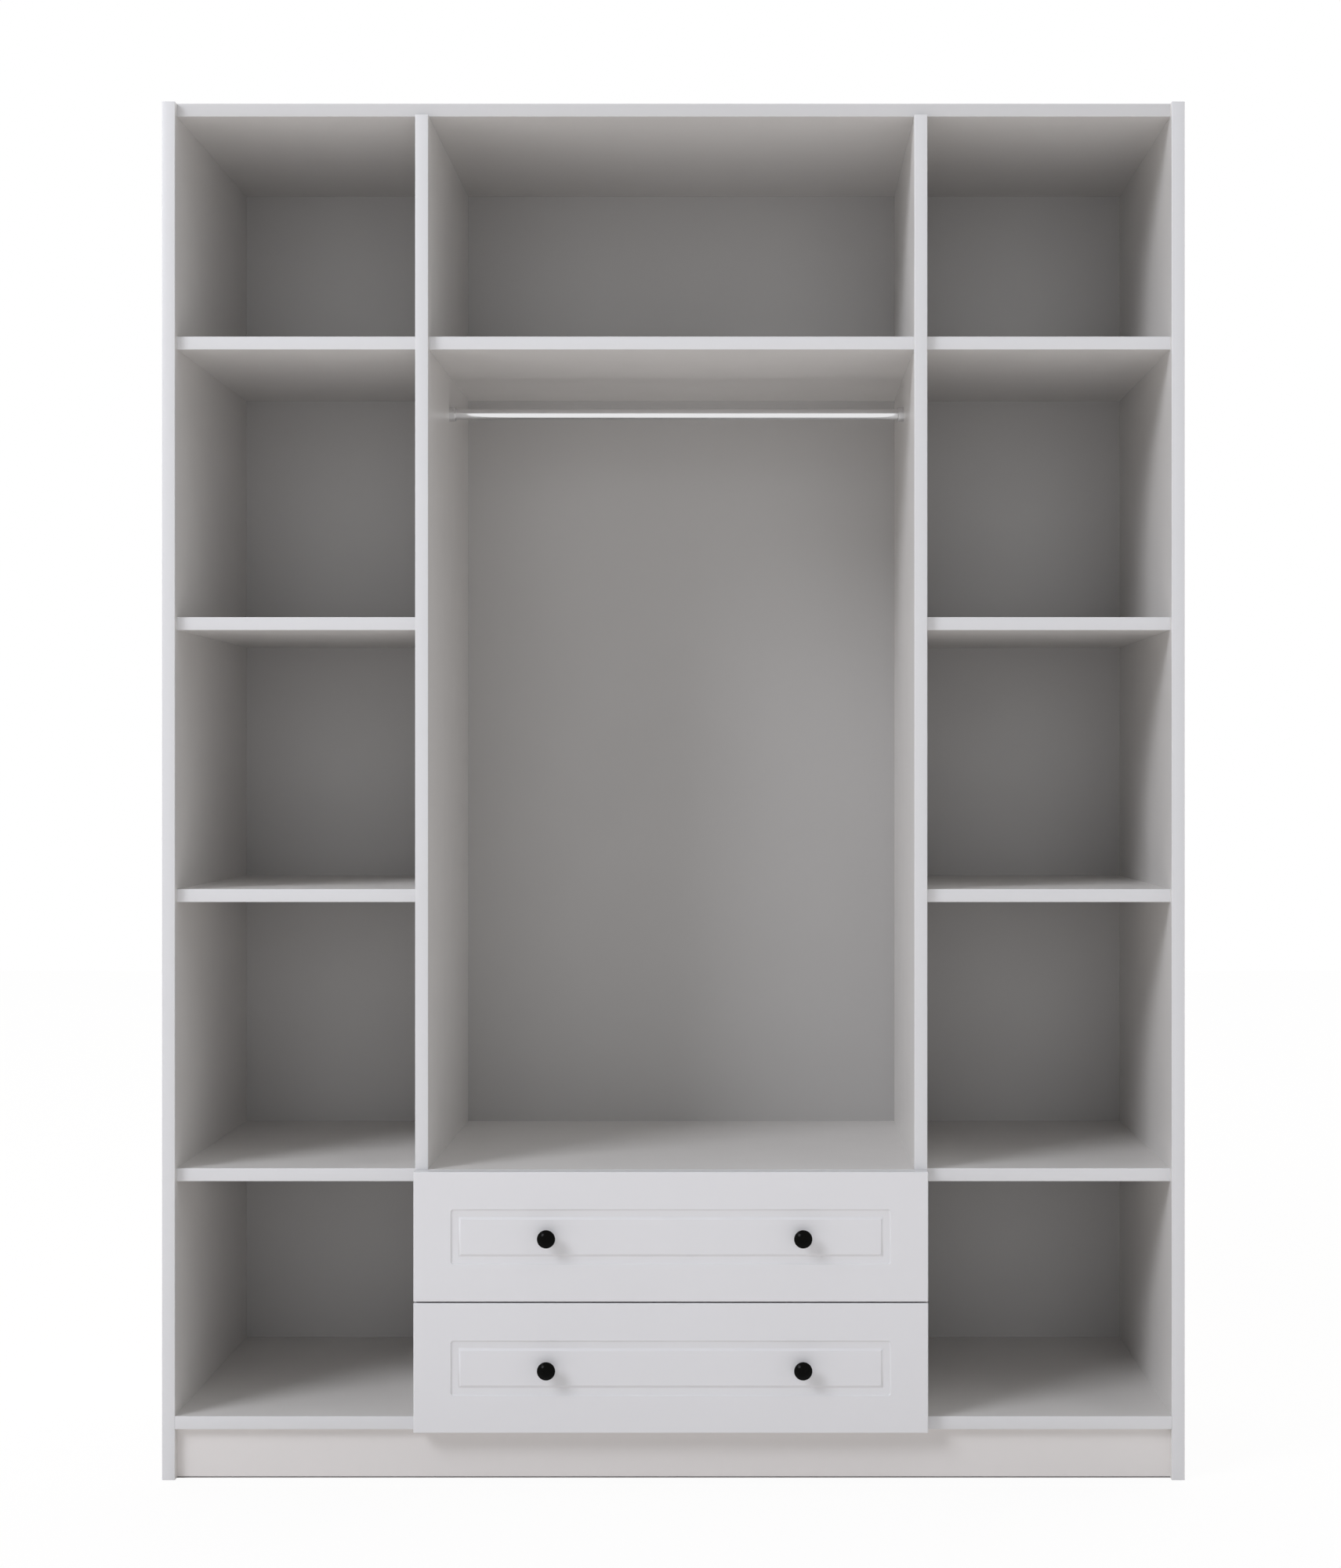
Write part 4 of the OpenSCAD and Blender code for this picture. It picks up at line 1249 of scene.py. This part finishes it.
@dataclass
class Studio:
    """Floor, world, lamp and camera.

    The world's level changes along the axes: over the spans of Y for the sides, the rear and the
    strip straight ahead, and from the lower to the upper end of Z and X for rise and across.
    """

    eye: Triple = (0.109, -3.7395, 0.969)
    lens: float = 58.5
    shift: Pair = (-0.05225, -0.0045)
    clip_end: float = 100.0
    side_level: float = 0.42
    side_span: Pair = (-0.85, -0.45)
    rear_share: float = 1.9
    rear_span: Pair = (-0.15, 0.35)
    ahead_level: float = 1.75
    ahead_span: Pair = (-0.97, -0.90)
    rise: Pair = (0.7, 1.7)
    across: Pair = (0.95, 1.25)
    left_tint: Colour = (0.970, 0.992, 1.038)
    right_tint: Colour = (0.988, 0.997, 1.015)
    key_tint: Colour = (0.965, 0.985, 1.045)
    key_place: Triple = (-5.6, -5.3, 5.7)
    key_aim: Triple = (0.0, -0.25, 0.8)
    key_size: Pair = (3.2, 3.2)
    key_watts: float = 338.0
    floor_colour: Colour = (0.90, 0.86, 0.825)
    floor_roughness: float = 0.9
    floor_white: float = 0.93
    floor_reach: float = 9.0

    def camera(self) -> None:
        """Sets the camera at the photograph's viewpoint."""
        data = bpy.data.cameras.new("camera")
        data.lens = self.lens
        data.shift_x, data.shift_y = self.shift
        data.clip_end = self.clip_end
        camera = linked("camera", data)
        camera.location = self.eye
        camera.rotation_euler = (math.radians(90), 0.0, 0.0)
        bpy.context.scene.camera = camera

    def key(self) -> None:
        """Hangs the one soft lamp, high at the front left."""
        data = bpy.data.lights.new("key", "AREA")
        data.shape = "RECTANGLE"
        data.size, data.size_y = self.key_size
        data.energy = self.key_watts
        data.color = self.key_tint
        lamp = linked("key", data)
        lamp.location = self.key_place
        way = Vector(self.key_aim) - Vector(self.key_place)
        lamp.rotation_euler = way.to_track_quat("-Z", "Y").to_euler()

    def world(self) -> None:
        """Lights the object softly from all round, before a white backdrop."""
        world = bpy.data.worlds.new("studio")
        bpy.context.scene.world = world
        world.use_nodes = True
        world.node_tree.nodes.clear()
        graph = Wiring(world.node_tree)
        whole = (-1.0, 1.0)
        parts = graph.new("ShaderNodeSeparateXYZ")
        graph.link(graph.new("ShaderNodeTexCoord").outputs["Generated"], parts.inputs["Vector"])
        x, y, z = (parts.outputs[axis] for axis in "XYZ")
        level = graph.combined(
            "MULTIPLY",
            graph.graded(y, self.side_span, (0.0, self.side_level)),
            graph.graded(z, whole, self.rise),
            graph.graded(x, whole, self.across),
            graph.graded(y, self.rear_span, (1.0, self.rear_share)),
        )
        ahead = graph.graded(y, self.ahead_span, (self.ahead_level, 0.0))
        tint = graph.new("ShaderNodeValToRGB")
        for stop, colour in zip(tint.color_ramp.elements, (self.left_tint, self.right_tint)):
            stop.color = (*colour, 1.0)
        graph.link(graph.graded(x, whole, (0.0, 1.0)), tint.inputs["Fac"])
        soft, white = graph.new("ShaderNodeBackground"), graph.new("ShaderNodeBackground")
        white.inputs["Color"].default_value = (1.0, 1.0, 1.0, 1.0)
        graph.link(tint.outputs["Color"], soft.inputs["Color"])
        graph.link(graph.combined("ADD", level, ahead), soft.inputs["Strength"])
        out = graph.new("ShaderNodeOutputWorld").inputs["Surface"]
        graph.mixed(graph.seen(), soft.outputs["Background"], white.outputs["Background"], out)

    def floor(self) -> None:
        """Lays the pale floor, which keeps the object's shadow and stays dark under the carcass."""
        reach = self.floor_reach
        low, high = box("plinth_board")
        across = (-reach, low.x, high.x, reach)
        along = (-reach, low.y, Side.REAR.plane("rear_plinth_rail"), reach)
        count = len(across)
        grid = [(x, y, 0.0) for y in along for x in across]
        starts = [count * row + column for row in range(count - 1) for column in range(count - 1)]
        squares = [(i, i + 1, i + 1 + count, i + count) for i in starts]
        mesh = bpy.data.meshes.new("floor")
        mesh.from_pydata(grid, [], squares)
        mesh.materials.append(self.floor_paint("floor_paint", self.floor_white))
        mesh.materials.append(self.floor_paint("floor_paint_under_carcass", 0.0))
        mesh.polygons[len(squares) // 2].material_index = 1
        linked("floor", mesh)

    def floor_paint(self, name: str, white: float) -> Material:
        """Matt floor paint, part of which shows white whatever light falls on it.

        Args:
            name: Name of the material.
            white: The part that shows white.

        Returns:
            The material.
        """
        graph = Graph(name)
        graph.set(Base_Color=(*self.floor_colour, 1.0), Roughness=self.floor_roughness)
        matt = graph.shader.outputs["BSDF"]
        glow = graph.new("ShaderNodeEmission").outputs["Emission"]
        share = graph.graded(graph.seen(), (0.0, 1.0), (0.0, white))
        graph.mixed(share, matt, glow, matt.links[0].to_socket)
        return graph.material

    def make(self) -> None:
        """Sets the studio up."""
        bpy.context.scene.view_settings.view_transform = "Standard"
        self.camera()
        self.world()
        self.key()
        self.floor()


def main() -> None:
    """Builds the wardrobe's looks."""
    logging.basicConfig(level=logging.INFO, format="%(name)s: %(message)s")
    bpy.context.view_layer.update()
    Studio().make()
    Carcass().make()
    Metalwork().make()
    for level in Level:
        Drawer(level).make()
    CabinetScrews().make()
    BackNails().make()


if __name__ == "__main__":
    main()
